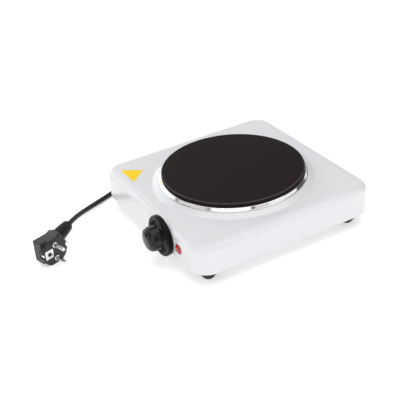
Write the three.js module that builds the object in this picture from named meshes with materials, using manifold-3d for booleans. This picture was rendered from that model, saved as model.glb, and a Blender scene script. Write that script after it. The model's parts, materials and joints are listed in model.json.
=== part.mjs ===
// Single electric hot plate: an enamelled steel housing on four rubber feet, a cast-iron plate with a
// stainless ring, a thermostat with its knob, a pilot lamp, and a mains cord with an angled plug.
// Millimetres, +Z up, +X to the right and -Y to the front. The floor is z = 0.

import * as THREE from "three";
import { mergeVertices } from "three/addons/utils/BufferGeometryUtils.js";
import Module from "manifold-3d";

const wasm = await Module();
wasm.setup();

// ---------------------------------------------------------------------------------------------
// Driving dimensions
// ---------------------------------------------------------------------------------------------
const gap = 0.3;             // between pieces that touch
const cutOver = 2;           // how far a cutter runs past the face it cuts
const roundSides = 40;       // sides of the plate, its ring and its hole

// Housing
const width = 255;
const depth = 255;
const bodyHeight = 36;
const cornerRadius = 24.5;   // in plan
const edgeRadius = 6;        // between the top and the sides
const sheet = 1.2;           // steel thickness
const collarHeight = 4.2;    // raised annulus round the plate
const collarFlat = 3;        // flat width of the collar outside the ring
const collarSlope = 8;       // width of its outer slope
const tabThickness = 1.5;    // bent-in corner tabs that take the foot screws
const tabReach = 9;          // from a foot's axis inwards

// Base plate
const baseSheet = 1;
const slotLength = 34;
const slotWidth = 3.2;
const slotPitch = 9;
const slotsPerBank = 5;
const slotBankX = 52;

// Feet and their screws
const footHeight = 19;
const footRadius = 10.6;
const footInset = 24.3;      // from the outer faces to the foot's axis
const footPadRadius = 5.6;
const footPocketRadius = 4.6;
const footPocketDepth = 6;
const footScrewRadius = 1.9;
const footScrewHead = 3.8;
const footScrewHeadHeight = 2.5;
const footScrewTip = 2.2;    // thread standing above the tab

// Hot plate
const plateRadius = 92.5;
const plateRise = 14.4;      // plate top above the housing's top
const plateRimDepth = 5.2;
const plateSkin = 5;
const skirtRadius = plateRadius - 4;
const skirtWall = 4.5;
const skirtDepth = 12.4;
const plateRibRadius = plateRadius - 52.5;
const plateRibWall = 4;
const plateRibDepth = 11;
const bossRadius = 9;
const bossDepth = 21.3;
const skirtClearance = 0.7;  // skirt to the hole in the housing

// Stainless ring
const ringFoot = plateRadius + 3.5;      // outer radius where it stands on the housing
const ringShoulder = plateRadius + 1.1;  // outer radius at its top
const ringSheet = 0.8;

// Heating coil and its terminals
const coilWireRadius = 3.1;
const coilInnerRadius = plateRadius - 40.5;
const coilOuterRadius = plateRadius - 18.5;
const coilTurns = 2;
const coilEndAngle = 250;    // degrees, where both ends turn down
const coilDrop = 9;          // below the plate's top skin
const coilLegDrop = 25.4;    // from the plate's top to the ends of the legs
const terminalBlockLength = 36;
const terminalBlockWidth = 12;
const terminalBlockHeight = 8.9;
const spadeWidth = 6.3;
const spadeThickness = 0.8;
const spadeLength = 13.7;

// Heat shield, bridge and centre stud
const shieldRadius = plateRadius - 9.3;
const shieldSheet = 0.8;
const shieldDrop = 22.4;     // from the plate's top to the underside of the pan
const shieldWall = 9.5;
const bridgeWidth = 22;
const bridgeThickness = 2.5;
const bridgeReach = plateRadius + 5.5;
const studRadius = 3;
const studLength = 29;
const studCover = 6.4;       // from the plate's top to the stud's end
const washerRadius = 7;
const washerThickness = 1.3;
const nutRadius = 5.8;
const nutHeight = 5;

// Knob, bezel and thermostat, on one axis through the front
const knobX = 42;
const knobDrop = 18;         // axis below the housing's top
const bezelRadius = 26.1;
const bezelThickness = 7.1;
const bezelFloor = 2.2;
const bezelDishRadius = 18.8;
const knobRadius = 16.4;
const knobBack = 8.6;        // from the front face to the knob's back edge
const knobFront = 25.2;
const knobWall = 1.9;
const knobHubRadius = 6.8;
const knobFlutes = 12;
const knobFluteRadius = 2.3;
const spindleRadius = 3;
const spindleFlat = 1.9;     // from the axis to the D flat
const spindleTip = 19.6;
const spindleInner = -14;    // negative is inside the housing
const spindleCollarRadius = 6;
const spindleCollarThickness = 2.3;
const bushRadius = 5;
const bushShoulderRadius = 8;
const bushInner = -8;
const bushTip = 8.2;
const bushNutRadius = 8;
const bushNutHeight = 3;
const frameSheet = 1.2;
const frameWidth = 26;
const frameRight = 15;
const stackOffset = 24;      // from the spindle's axis to the rivet's
const pinRadius = 1.5;
const pinLength = 7.7;
const armWidth = 8;
const armTip = 18;
const armTail = 40;
const movingArmSheet = 0.5;
const fixedArmSheet = 0.8;
const contactOffset = 13;
const contactRadius = 2.2;
const contactHeight = 1.3;
const contactGap = 0.8;
const bimetalSheet = 1;
const spacerRadius = 5.5;
const spacerRear = 2;
const rivetRadius = 2;
const rivetHeadRadius = 4;
const rivetHeadHeight = 1.6;

// Pilot lamp
const lampX = 79.5;
const lampDrop = 19;
const lampRadius = 6.3;
const lampDome = 2.6;
const lampStemRadius = 4.7;
const lampStemDepth = 8;
const lampWall = 1.3;
const neonRadius = 2.4;
const neonLength = 12;
const clipSize = 16;
const clipSheet = 0.6;

// Cord inlet, in the left wall
const cordRadius = 3.4;
const exitInset = 47.5;      // from the back face to the cord's axis
const exitRise = 11;         // from the underside to the cord's axis
const reliefLength = 20;     // outside the wall
const reliefRootRadius = 6.6;
const reliefTipRadius = 4.7;
const reliefFlangeRadius = 8.6;
const reliefFlange = 2;
const reliefInner = 3.3;     // inside the wall's outer face
const reliefNeckRadius = 6;
const tailReach = 31.5;      // from the left face to the sheath's end
const anchorReach = 17.5;    // from the left face to the clamp
const anchorLength = 12;
const anchorRear = 6;        // from the cord's axis
const anchorMargin = 1;      // block beyond the clamp's ear
const clampSheet = 1.2;
const clampLength = 10;
const clampScrewRadius = 1.5;
const clampScrewHead = 2.9;
const clampScrewHeadHeight = 1.8;
const clampScrewDepth = 6;

// Mains terminal block, wires and earth screw
const blockReach = 54.5;     // from the left face to the middle of the block
const blockLength = 22;
const blockWidth = 30;
const blockHeight = 13.4;
const wayPitch = 9;
const wayRadius = 1.7;
const wayRise = 7;           // from the base plate to the middle of a way
const wireRadius = 1.2;
const leadRadius = 1.4;
const earthReach = 47.5;     // from the left face to the earth screw
const earthInset = 15.5;     // from the back face to the earth screw
const earthScrewRadius = 1.9;
const earthLugRadius = 4.6;
const earthLugSheet = 0.9;

// Cord coil, beside the left wall
const coilRingX = -144.2;
const coilRingY = 20;
const coilRingRadius = 34.1;  // at the middle of its turns
const coilRingWidth = 14.2;
const coilRingHeight = 13.6;
const tieSheet = 0.9;
const tieWidth = 8;
const tieSlack = 0.5;

// Plug: its frame has +X along the pins, and the cord leaves towards +Y
const plugX = -33;
const plugY = -240.9;
const plugYaw = 17.5;
const plugRadius = 19.3;
const plugFlat = 17.5;       // from the axis to the flats at top and bottom
const plugHeight = plugFlat + 0.1;
const plugThickness = 21;
const plugEdge = 1.6;
const plugPinRadius = 2.4;
const plugPinLength = 19;
const plugPinPitch = 19;
const plugPinRoot = 8;
const plugCollarRadius = 4.4;
const plugCollarHeight = 0.9;
const notchDepth = 2.6;      // of the two slots in its rim
const earthHoleOffset = 9.6;
const earthHoleRadius = 2.6;
const earthPlateSize = 12.2;
const earthPlateSheet = 0.7;
const earthClipWidth = 5;
const earthClipLength = 12;
const sleeveStart = new THREE.Vector3(-19, 10, 0);
const sleeveEnd = new THREE.Vector3(-33.2, 48, 0);
const sleeveRootRadius = 9.2;
const sleeveTipRadius = 7;

// Sticker on the top, front left
const stickerX = -85.6;
const stickerY = -111;
const stickerSide = 39;
const stickerRise = 24.5;
const stickerSheet = 0.2;

// ---------------------------------------------------------------------------------------------
// Places worked out from them
// ---------------------------------------------------------------------------------------------
const bottom = footHeight;
const top = footHeight + bodyHeight;
const roof = top - sheet;
const frontFace = -depth / 2;
const leftFace = -width / 2;
const baseTop = bottom + baseSheet;
const tabBottom = baseTop + gap;
const tabTop = tabBottom + tabThickness;
const plateTop = top + plateRise;
const plateHole = skirtRadius + skirtClearance;
const collarTop = top + collarHeight;
const footX = width / 2 - footInset;
const footY = depth / 2 - footInset;
const knobZ = top - knobDrop;
const lampZ = top - lampDrop;
const exitY = depth / 2 - exitInset;
const exitHeight = bottom + exitRise;
const tailEnd = leftFace + tailReach;
const anchorX = leftFace + anchorReach;
const blockX = leftFace + blockReach;
const wayHeight = baseTop + wayRise;
const earthX = leftFace + earthReach;
const earthY = depth / 2 - earthInset;
const coilLegBottom = plateTop - coilLegDrop;
const shieldFloor = plateTop - shieldDrop;
const studTop = plateTop - studCover;
const studBottom = studTop - studLength;
const shieldTop = shieldFloor + shieldSheet;
const bridgeTop = collarTop - sheet - gap;
const bridgeMiddle = shieldFloor - gap;
const coilZ = plateTop - coilDrop;
const frameBack = -sheet - gap;
const frameInner = frameBack - frameSheet;
const pinTop = spindleInner - gap;
const movingArmTop = pinTop - pinLength - gap;
const movingArmBack = movingArmTop - movingArmSheet;
const fixedArmTop = movingArmBack - contactHeight - contactGap - contactHeight;
const fixedArmBack = fixedArmTop - fixedArmSheet;
const bimetalTop = fixedArmBack - spacerRear - 2 * gap;
const bimetalBack = bimetalTop - bimetalSheet;
const coilRingFloor = tieSheet + gap;
const clampScrewOffset = cordRadius + gap + clampSheet + clampScrewHead + gap;
const clampEar = clampScrewOffset + clampScrewHead + 0.6;

// ---------------------------------------------------------------------------------------------
// Solids: join, cut and hand back as geometry
// ---------------------------------------------------------------------------------------------
function solid(geometry) {
  const bare = geometry.clone();
  bare.deleteAttribute("normal");
  bare.deleteAttribute("uv");
  const merged = mergeVertices(bare, 1e-4);
  return new wasm.Manifold(new wasm.Mesh({
    numProp: 3,
    vertProperties: new Float32Array(merged.attributes.position.array),
    triVerts: new Uint32Array(merged.index.array),
  }));
}

function geometryOf(body) {
  const mesh = body.getMesh();
  const geometry = new THREE.BufferGeometry();
  geometry.setAttribute("position", new THREE.BufferAttribute(Float32Array.from(mesh.vertProperties), 3));
  geometry.setIndex(new THREE.BufferAttribute(Uint32Array.from(mesh.triVerts), 1));
  return geometry;
}

function box(x0, x1, y0, y1, z0, z1) {
  const geometry = new THREE.BoxGeometry(x1 - x0, y1 - y0, z1 - z0);
  return geometry.translate((x0 + x1) / 2, (y0 + y1) / 2, (z0 + z1) / 2);
}

// An upright cylinder on the z axis.
function disc(radius, z0, z1, sides = 24) {
  const geometry = new THREE.CylinderGeometry(radius, radius, z1 - z0, sides);
  return geometry.rotateX(Math.PI / 2).translate(0, 0, (z0 + z1) / 2);
}

// A turned piece round the z axis. The profile is a list of [radius, z]: it starts and ends on the
// axis, or it is closed here on itself.
function turned(profile, sides = 32) {
  const points = profile.map(([r, z]) => new THREE.Vector2(r, z));
  const onAxis = points[0].x === 0 && points[points.length - 1].x === 0;
  if (THREE.ShapeUtils.area(points) < 0) points.reverse();
  if (!onAxis) points.push(points[0].clone());
  return new THREE.LatheGeometry(points, sides).rotateX(Math.PI / 2);
}

function roundedRectangle(w, d, r) {
  const shape = new THREE.Shape();
  shape.absarc(w / 2 - r, d / 2 - r, r, 0, Math.PI / 2);
  shape.absarc(-w / 2 + r, d / 2 - r, r, Math.PI / 2, Math.PI);
  shape.absarc(-w / 2 + r, -d / 2 + r, r, Math.PI, 1.5 * Math.PI);
  shape.absarc(w / 2 - r, -d / 2 + r, r, 1.5 * Math.PI, 2 * Math.PI);
  shape.closePath();
  return shape;
}

function polygon(points) {
  return new THREE.Shape(points.map(([x, y]) => new THREE.Vector2(x, y)));
}

function extruded(shape, z0, z1, curveSegments = 4) {
  const settings = { depth: z1 - z0, bevelEnabled: false, curveSegments };
  return new THREE.ExtrudeGeometry(shape, settings).translate(0, 0, z0);
}

// A rounded block whose top and bottom edges are filleted.
function filletedBlock(w, d, r, fillet, z0, z1) {
  const settings = {
    depth: z1 - z0 - 2 * fillet,
    bevelThickness: fillet,
    bevelSize: fillet,
    bevelSegments: 3,
    curveSegments: 3,
  };
  const shape = roundedRectangle(w - 2 * fillet, d - 2 * fillet, r - fillet);
  return new THREE.ExtrudeGeometry(shape, settings).translate(0, 0, z0 + fillet);
}

// A round tube along points given as [x, y, z].
function tube(points, radius, steps, sides = 8) {
  const route = points.map((p) => new THREE.Vector3(...p));
  const section = new THREE.Shape();
  for (let i = 0; i < sides; i++) {
    const angle = (2 * Math.PI * (i + 0.5)) / sides;
    const x = radius * Math.cos(angle);
    const y = radius * Math.sin(angle);
    if (i === 0) section.moveTo(x, y);
    else section.lineTo(x, y);
  }
  section.closePath();
  const extrudePath = new THREE.CatmullRomCurve3(route, false, "centripetal");
  return new THREE.ExtrudeGeometry(section, { extrudePath, steps, bevelEnabled: false });
}

// ---------------------------------------------------------------------------------------------
// Materials
// ---------------------------------------------------------------------------------------------
function finish(color, roughness, metalness) {
  return new THREE.MeshStandardMaterial({ color, roughness, metalness });
}

const enamel = finish(0xe6e8ea, 0.3, 0);
const castIron = finish(0x2e2829, 0.75, 0.2);
const stainless = finish(0xc9c9cb, 0.15, 1);
const plated = finish(0xb7b9bb, 0.35, 1);
const galvanised = finish(0xa3a7aa, 0.5, 0.9);
const blackRubber = finish(0x17171a, 0.8, 0);
const blackGloss = finish(0x111113, 0.25, 0);
const blackPvc = finish(0x1a1a1c, 0.5, 0);
const redLens = finish(0xc8202a, 0.15, 0);
const glassClear = finish(0xdfe6e8, 0.05, 0);
const ceramic = finish(0xe8e2d4, 0.6, 0);
const brassFinish = finish(0xb59a4c, 0.35, 1);
const springSteel = finish(0x8f8a80, 0.4, 0.9);
const stickerYellow = finish(0xf2bc14, 0.5, 0);
const blueWire = finish(0x2f5fae, 0.5, 0);
const brownWire = finish(0x6b4226, 0.5, 0);
const greenWire = finish(0x5f9a3c, 0.5, 0);

const appliance = new THREE.Group();

function add(name, geometry, material, parent = appliance) {
  const mesh = new THREE.Mesh(geometry, material);
  mesh.name = name;
  parent.add(mesh);
  return mesh;
}

// ---------------------------------------------------------------------------------------------
// Housing, base plate and feet
// ---------------------------------------------------------------------------------------------
function corners() {
  return [
    ["front_left", -footX, -footY],
    ["front_right", footX, -footY],
    ["rear_left", -footX, footY],
    ["rear_right", footX, footY],
  ];
}

function cornerTabs() {
  const fuse = 0.2;          // how far the tabs run into the walls
  const inside = roundedRectangle(
    width - 2 * (sheet - fuse), depth - 2 * (sheet - fuse), cornerRadius - sheet + fuse);
  const slab = solid(extruded(inside, tabBottom, tabTop));
  const keepX = footX - tabReach;
  const keepY = footY - tabReach;
  const acrossX = solid(box(-keepX, keepX, -depth, depth, tabBottom - cutOver, tabTop + cutOver));
  const acrossY = solid(box(-width, width, -keepY, keepY, tabBottom - cutOver, tabTop + cutOver));
  return slab.subtract(acrossX).subtract(acrossY);
}

function housing() {
  const outer = solid(filletedBlock(
    width, depth, cornerRadius, edgeRadius, bottom - edgeRadius - cutOver, top));
  const inner = solid(filletedBlock(
    width - 2 * sheet, depth - 2 * sheet, cornerRadius - sheet, edgeRadius - sheet,
    bottom - edgeRadius - 2 * cutOver, roof));
  const collarEdge = ringFoot + collarFlat + collarSlope;
  const collar = solid(turned([
    [plateHole, collarTop - sheet],
    [ringFoot + collarFlat - sheet / 2, collarTop - sheet],
    [collarEdge - sheet / 2, roof],
    [collarEdge + sheet, roof],
    [collarEdge + sheet, top],
    [collarEdge, top],
    [ringFoot + collarFlat, collarTop],
    [plateHole, collarTop],
  ], roundSides));
  let body = outer.subtract(solid(box(-width, width, -depth, depth, -footHeight, bottom)));
  body = body.subtract(inner);
  body = body.subtract(solid(disc(collarEdge, roof - cutOver, top + cutOver, roundSides)));
  body = body.add(collar);
  body = body.add(cornerTabs());
  for (const [, x, y] of corners()) {
    const hole = disc(footScrewRadius + gap, tabBottom - cutOver, tabTop + cutOver, 12);
    body = body.subtract(solid(hole.translate(x, y, 0)));
  }
  const throughFront = (radius, x, z) => disc(radius, -sheet - cutOver, cutOver, 24)
    .rotateX(Math.PI / 2).translate(x, frontFace, z);
  body = body.subtract(solid(throughFront(bushRadius + gap, knobX, knobZ)));
  body = body.subtract(solid(throughFront(lampStemRadius + gap, lampX, lampZ)));
  const inlet = disc(reliefNeckRadius + gap, -sheet - cutOver, cutOver, 24)
    .rotateY(-Math.PI / 2).translate(leftFace, exitY, exitHeight);
  return geometryOf(body.subtract(solid(inlet)));
}

function slot(x, y) {
  const path = new THREE.Path();
  const half = slotLength / 2 - slotWidth / 2;
  path.absarc(x + half, y, slotWidth / 2, -Math.PI / 2, Math.PI / 2);
  path.absarc(x - half, y, slotWidth / 2, Math.PI / 2, 1.5 * Math.PI);
  path.closePath();
  return path;
}

function roundHole(x, y, radius) {
  return new THREE.Path().absarc(x, y, radius, 0, 2 * Math.PI);
}

function basePlate() {
  const shape = roundedRectangle(
    width - 2 * (sheet + gap), depth - 2 * (sheet + gap), cornerRadius - sheet - gap);
  for (const side of [-1, 1]) {
    for (let i = 0; i < slotsPerBank; i++) {
      shape.holes.push(slot(side * slotBankX, (i - (slotsPerBank - 1) / 2) * slotPitch));
    }
  }
  for (const [, x, y] of corners()) shape.holes.push(roundHole(x, y, footScrewRadius + gap));
  shape.holes.push(roundHole(earthX, earthY, earthScrewRadius + gap));
  return extruded(shape, bottom, baseTop, 3);
}

function foot() {
  const topFace = footHeight - gap;
  const bore = footScrewRadius + gap;
  return turned([
    [footPocketRadius, 0],
    [footPadRadius, 0],
    [footRadius - 3.6, 1.6],
    [footRadius - 2, 3.8],
    [footRadius - 0.6, 6.2],
    [footRadius, 9.5],
    [footRadius, topFace],
    [bore, topFace],
    [bore, footPocketDepth],
    [footPocketRadius, footPocketDepth],
  ], 18);
}

function footScrew() {
  const headTop = footPocketDepth - gap;
  return turned([
    [0, headTop - footScrewHeadHeight],
    [footScrewHead, headTop - footScrewHeadHeight],
    [footScrewHead, headTop],
    [footScrewRadius, headTop],
    [footScrewRadius, tabTop + footScrewTip],
    [0, tabTop + footScrewTip],
  ], 12);
}

// ---------------------------------------------------------------------------------------------
// Hot plate, ring, heating coil, shield and clamp
// ---------------------------------------------------------------------------------------------
function hotPlate() {
  const ceiling = plateTop - plateSkin;
  const rimUnder = plateTop - plateRimDepth;
  return turned([
    [0, plateTop],
    [plateRadius - 1.6, plateTop],
    [plateRadius - 0.5, plateTop - 0.5],
    [plateRadius, plateTop - 1.6],
    [plateRadius, rimUnder],
    [plateRadius - 0.8, rimUnder - 0.3],
    [skirtRadius, rimUnder - 0.3],
    [skirtRadius, plateTop - skirtDepth],
    [skirtRadius - skirtWall, plateTop - skirtDepth],
    [skirtRadius - skirtWall, ceiling],
    [plateRibRadius + plateRibWall / 2, ceiling],
    [plateRibRadius + plateRibWall / 2, plateTop - plateRibDepth],
    [plateRibRadius - plateRibWall / 2, plateTop - plateRibDepth],
    [plateRibRadius - plateRibWall / 2, ceiling],
    [bossRadius, ceiling],
    [bossRadius, plateTop - bossDepth],
    [studRadius + gap, plateTop - bossDepth],
    [studRadius + gap, studTop + gap],
    [0, studTop + gap],
  ], roundSides);
}

function spillRing() {
  const floor = collarTop + gap;
  const lip = plateTop - plateRimDepth - 2 * gap;
  return turned([
    [plateHole, floor],
    [ringFoot, floor],
    [ringFoot - 0.6, floor + 1.4],
    [ringShoulder, lip - 0.5],
    [ringShoulder - 0.6, lip],
    [plateHole, lip],
    [plateHole, lip - ringSheet],
    [ringShoulder - 1, lip - ringSheet],
    [ringFoot - 1.5, floor + 1.4],
    [ringFoot - 1.5, floor + ringSheet],
    [plateHole, floor + ringSheet],
  ], roundSides);
}

// Both legs hang at the end angle. The spiral between them winds outwards.
function heatingCoilRoute() {
  const pointsPerTurn = 14;
  const legTurn = 9;         // degrees taken by each bend into a leg
  const place = (degrees, radius, z) => [
    radius * Math.cos(THREE.MathUtils.degToRad(degrees)),
    radius * Math.sin(THREE.MathUtils.degToRad(degrees)),
    z,
  ];
  const points = [
    place(coilEndAngle, coilInnerRadius, coilLegBottom),
    place(coilEndAngle, coilInnerRadius, coilZ - 7),
    place(coilEndAngle + legTurn / 3, coilInnerRadius, coilZ - 2.5),
  ];
  const count = coilTurns * pointsPerTurn;
  for (let i = 0; i <= count; i++) {
    const share = i / count;
    const degrees = coilEndAngle + legTurn + share * (coilTurns * 360 - 2 * legTurn);
    const radius = THREE.MathUtils.lerp(coilInnerRadius, coilOuterRadius, share);
    points.push(place(degrees, radius, coilZ));
  }
  points.push(place(coilEndAngle - legTurn / 3, coilOuterRadius, coilZ - 2.5));
  points.push(place(coilEndAngle, coilOuterRadius, coilZ - 7));
  points.push(place(coilEndAngle, coilOuterRadius, coilLegBottom));
  return points;
}

function terminalAt(radius) {
  const angle = THREE.MathUtils.degToRad(coilEndAngle);
  return [radius * Math.cos(angle), radius * Math.sin(angle)];
}

function heatShield() {
  const bore = studRadius + gap;
  let pan = solid(turned([
    [bore, shieldFloor],
    [shieldRadius, shieldFloor],
    [shieldRadius, shieldFloor + shieldWall],
    [shieldRadius - shieldSheet, shieldFloor + shieldWall],
    [shieldRadius - shieldSheet, shieldTop],
    [bore, shieldTop],
  ], 36));
  for (const radius of [coilInnerRadius, coilOuterRadius]) {
    const hole = disc(coilWireRadius + 2 * gap, shieldFloor - cutOver, shieldTop + cutOver, 16);
    pan = pan.subtract(solid(hole.translate(...terminalAt(radius), 0)));
  }
  return geometryOf(pan);
}

function elementTerminalBlock() {
  const blockTop = shieldFloor - gap;
  const middle = (coilInnerRadius + coilOuterRadius) / 2;
  let block = solid(box(
    -terminalBlockLength / 2, terminalBlockLength / 2,
    -terminalBlockWidth / 2, terminalBlockWidth / 2,
    blockTop - terminalBlockHeight, blockTop));
  for (const radius of [coilInnerRadius, coilOuterRadius]) {
    const blockFloor = blockTop - terminalBlockHeight;
    const hole = disc(spadeWidth / 2 + 2 * gap, blockFloor - cutOver, blockTop + cutOver);
    block = block.subtract(solid(hole.translate(radius - middle, 0, 0)));
  }
  const turn = THREE.MathUtils.degToRad(coilEndAngle);
  return geometryOf(block).rotateZ(turn).translate(...terminalAt(middle), 0);
}

function elementSpade(radius) {
  const spadeTop = coilLegBottom - gap;
  const blade = box(
    -spadeWidth / 2, spadeWidth / 2, -spadeThickness / 2, spadeThickness / 2,
    spadeTop - spadeLength, spadeTop);
  return blade.rotateZ(THREE.MathUtils.degToRad(coilEndAngle)).translate(...terminalAt(radius), 0);
}

// A pressed bar: its ends bear on the underside of the housing's top, and its middle lies under the
// shield.
function clampBridge() {
  const shoulder = plateHole + 2.3;
  const elbow = shoulder - 4;
  const half = [
    [bridgeReach, bridgeTop],
    [shoulder, bridgeTop],
    [elbow, bridgeMiddle],
  ];
  const under = [
    [elbow + 1.6, bridgeMiddle - bridgeThickness],
    [shoulder + 1.6, bridgeTop - bridgeThickness],
    [bridgeReach, bridgeTop - bridgeThickness],
  ];
  const mirrored = (list) => list.map(([x, z]) => [-x, z]).reverse();
  const outline = polygon([...half, ...mirrored(half), ...mirrored(under), ...under]);
  const bar = extruded(outline, -bridgeWidth / 2, bridgeWidth / 2).rotateX(Math.PI / 2);
  const hole = disc(studRadius + gap, bridgeMiddle - bridgeThickness - cutOver, bridgeMiddle + cutOver);
  return geometryOf(solid(bar).subtract(solid(hole)));
}

function washer() {
  const washerTop = bridgeMiddle - bridgeThickness - gap;
  return turned([
    [studRadius + gap, washerTop - washerThickness],
    [washerRadius, washerTop - washerThickness],
    [washerRadius, washerTop],
    [studRadius + gap, washerTop],
  ], 24);
}

function hexNut(acrossCorners, bore, z0, z1) {
  return geometryOf(solid(disc(acrossCorners, z0, z1, 6)).subtract(
    solid(disc(bore, z0 - cutOver, z1 + cutOver, 24))));
}

function studNut() {
  const nutTop = bridgeMiddle - bridgeThickness - 2 * gap - washerThickness;
  return hexNut(nutRadius, studRadius + gap, nutTop - nutHeight, nutTop);
}

// ---------------------------------------------------------------------------------------------
// Knob, bezel and thermostat. In their group +Z is outwards from the front face, +X is right and
// +Y is up.
// ---------------------------------------------------------------------------------------------
function knobBezel() {
  return turned([
    [bushRadius + gap, gap],
    [bezelRadius - 0.7, gap],
    [bezelRadius - 0.1, 1.1],
    [bezelRadius, bezelThickness - 1.1],
    [bezelRadius - 0.9, bezelThickness],
    [bezelRadius - 4.4, bezelThickness],
    [bezelRadius - 5.6, bezelThickness - 1.3],
    [bezelDishRadius, bezelFloor + 0.4],
    [bezelDishRadius - 1.6, bezelFloor],
    [bushRadius + gap, bezelFloor],
  ], 36);
}

function spindleHole(radius, flat, z0, z1) {
  const round = solid(disc(radius, z0, z1, 24));
  const beyondFlat = box(-2 * radius, 2 * radius, flat, 2 * radius, z0 - cutOver, z1 + cutOver);
  return round.subtract(solid(beyondFlat));
}

function knob() {
  const hubBack = bushTip + 3 * gap;
  const domeInside = knobFront - knobWall - 2.6;
  let body = solid(turned([
    [0, knobFront],
    [5.4, knobFront - 0.35],
    [10.2, knobFront - 1.6],
    [13.2, knobFront - 3.6],
    [14.8, knobFront - 6.4],
    [knobRadius - 0.4, knobFront - 11],
    [knobRadius, knobBack + 0.8],
    [knobRadius - 0.5, knobBack],
    [knobRadius - knobWall - 0.4, knobBack],
    [knobRadius - knobWall - 1.2, domeInside - 3],
    [knobHubRadius, domeInside],
    [knobHubRadius, hubBack],
    [0, hubBack],
  ], 30));
  for (let i = 0; i < knobFlutes; i++) {
    const angle = (2 * Math.PI * (i + 0.5)) / knobFlutes;
    const flute = disc(knobFluteRadius, knobBack - cutOver, knobFront, 8).rotateX(0.08)
      .translate(0, knobRadius + knobFluteRadius - 1.1, 0).rotateZ(angle);
    body = body.subtract(solid(flute));
  }
  return geometryOf(body.subtract(
    spindleHole(spindleRadius + gap, spindleFlat + gap, hubBack - cutOver, spindleTip + gap)));
}

function spindle() {
  const shaft = solid(turned([
    [0, spindleInner],
    [spindleRadius, spindleInner],
    [spindleRadius, bushInner - gap - spindleCollarThickness],
    [spindleCollarRadius, bushInner - gap - spindleCollarThickness],
    [spindleCollarRadius, bushInner - gap],
    [spindleRadius, bushInner - gap],
    [spindleRadius, spindleTip],
    [0, spindleTip],
  ], 24));
  const flatCut = box(
    -2 * spindleRadius, 2 * spindleRadius, spindleFlat, 2 * spindleRadius,
    bushTip + gap, spindleTip + cutOver);
  return geometryOf(shaft.subtract(solid(flatCut)));
}

function thermostatBush() {
  const shoulder = frameInner - gap;
  return turned([
    [spindleRadius + gap, bushInner],
    [bushShoulderRadius, bushInner],
    [bushShoulderRadius, shoulder],
    [bushRadius, shoulder],
    [bushRadius, bushTip],
    [spindleRadius + gap, bushTip],
  ], 24);
}

function bushNut() {
  return hexNut(bushNutRadius, bushRadius + gap, bezelFloor + gap, bezelFloor + gap + bushNutHeight);
}

function thermostatFrame() {
  const shape = polygon([
    [-stackOffset - spacerRadius - 1, -frameWidth / 2],
    [frameRight, -frameWidth / 2],
    [frameRight, frameWidth / 2],
    [-stackOffset - spacerRadius - 1, frameWidth / 2],
  ]);
  shape.holes.push(roundHole(0, 0, bushRadius + gap));
  shape.holes.push(roundHole(-stackOffset, 0, rivetRadius + gap));
  return extruded(shape, frameInner, frameBack, 12);
}

// A flat contact arm with its rivet hole and a narrow spade at its tail.
function armOutline(tip) {
  const shape = polygon([
    [-armTail, -spadeWidth / 2],
    [-stackOffset - spacerRadius, -spadeWidth / 2],
    [-stackOffset - spacerRadius, -armWidth / 2],
    [tip, -armWidth / 2],
    [tip, armWidth / 2],
    [-stackOffset - spacerRadius, armWidth / 2],
    [-stackOffset - spacerRadius, spadeWidth / 2],
    [-armTail, spadeWidth / 2],
  ]);
  shape.holes.push(roundHole(-stackOffset, 0, rivetRadius + gap));
  return shape;
}

function movingContactArm() {
  const arm = solid(extruded(armOutline(armTip), movingArmBack, movingArmTop, 8));
  const buttonRoot = movingArmBack + movingArmSheet / 2;
  const button = disc(contactRadius, movingArmBack - contactHeight, buttonRoot, 12);
  return geometryOf(arm.add(solid(button.translate(contactOffset, 0, 0))));
}

function fixedContactArm() {
  const arm = solid(extruded(armOutline(armTip), fixedArmBack, fixedArmTop, 8));
  const button = disc(contactRadius, fixedArmTop - fixedArmSheet / 2, fixedArmTop + contactHeight, 12);
  return geometryOf(arm.add(solid(button.translate(contactOffset, 0, 0))));
}

function bimetalStrip() {
  const shape = polygon([
    [-stackOffset - spacerRadius, -armWidth / 2],
    [armTip, -armWidth / 2],
    [armTip, armWidth / 2],
    [-stackOffset - spacerRadius, armWidth / 2],
  ]);
  shape.holes.push(roundHole(-stackOffset, 0, rivetRadius + gap));
  return extruded(shape, bimetalBack, bimetalTop, 8);
}

function stackSpacer(z0, z1) {
  const bore = rivetRadius + gap;
  return turned([[bore, z0], [spacerRadius, z0], [spacerRadius, z1], [bore, z1]], 20);
}

function stackRivet() {
  const headTop = bimetalBack - gap;
  return turned([
    [0, headTop - rivetHeadHeight],
    [rivetHeadRadius, headTop - rivetHeadHeight],
    [rivetHeadRadius, headTop],
    [rivetRadius, headTop],
    [rivetRadius, frameBack - 0.1],
    [0, frameBack - 0.1],
  ], 16);
}

// ---------------------------------------------------------------------------------------------
// Pilot lamp, in the same kind of group
// ---------------------------------------------------------------------------------------------
function lampLens() {
  const inside = lampStemRadius - lampWall;
  return turned([
    [0, lampDome],
    [lampRadius - 2.8, lampDome - 0.3],
    [lampRadius - 0.9, lampDome - 1.1],
    [lampRadius, gap + 0.4],
    [lampRadius, gap],
    [lampStemRadius, gap],
    [lampStemRadius, -lampStemDepth],
    [inside, -lampStemDepth],
    [inside, lampDome - 2.1],
    [0, lampDome - 1.5],
  ], 16);
}

function neonTube() {
  const tip = -gap - 0.4;
  return turned([
    [0, tip],
    [neonRadius * 0.7, tip - 0.6],
    [neonRadius, tip - 2],
    [neonRadius, tip - neonLength],
    [0, tip - neonLength],
  ], 12);
}

function lampClip() {
  const shape = roundedRectangle(clipSize, clipSize, 1.5);
  shape.holes.push(roundHole(0, 0, lampStemRadius + gap));
  return extruded(shape, -sheet - gap - clipSheet, -sheet - gap, 6);
}

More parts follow.
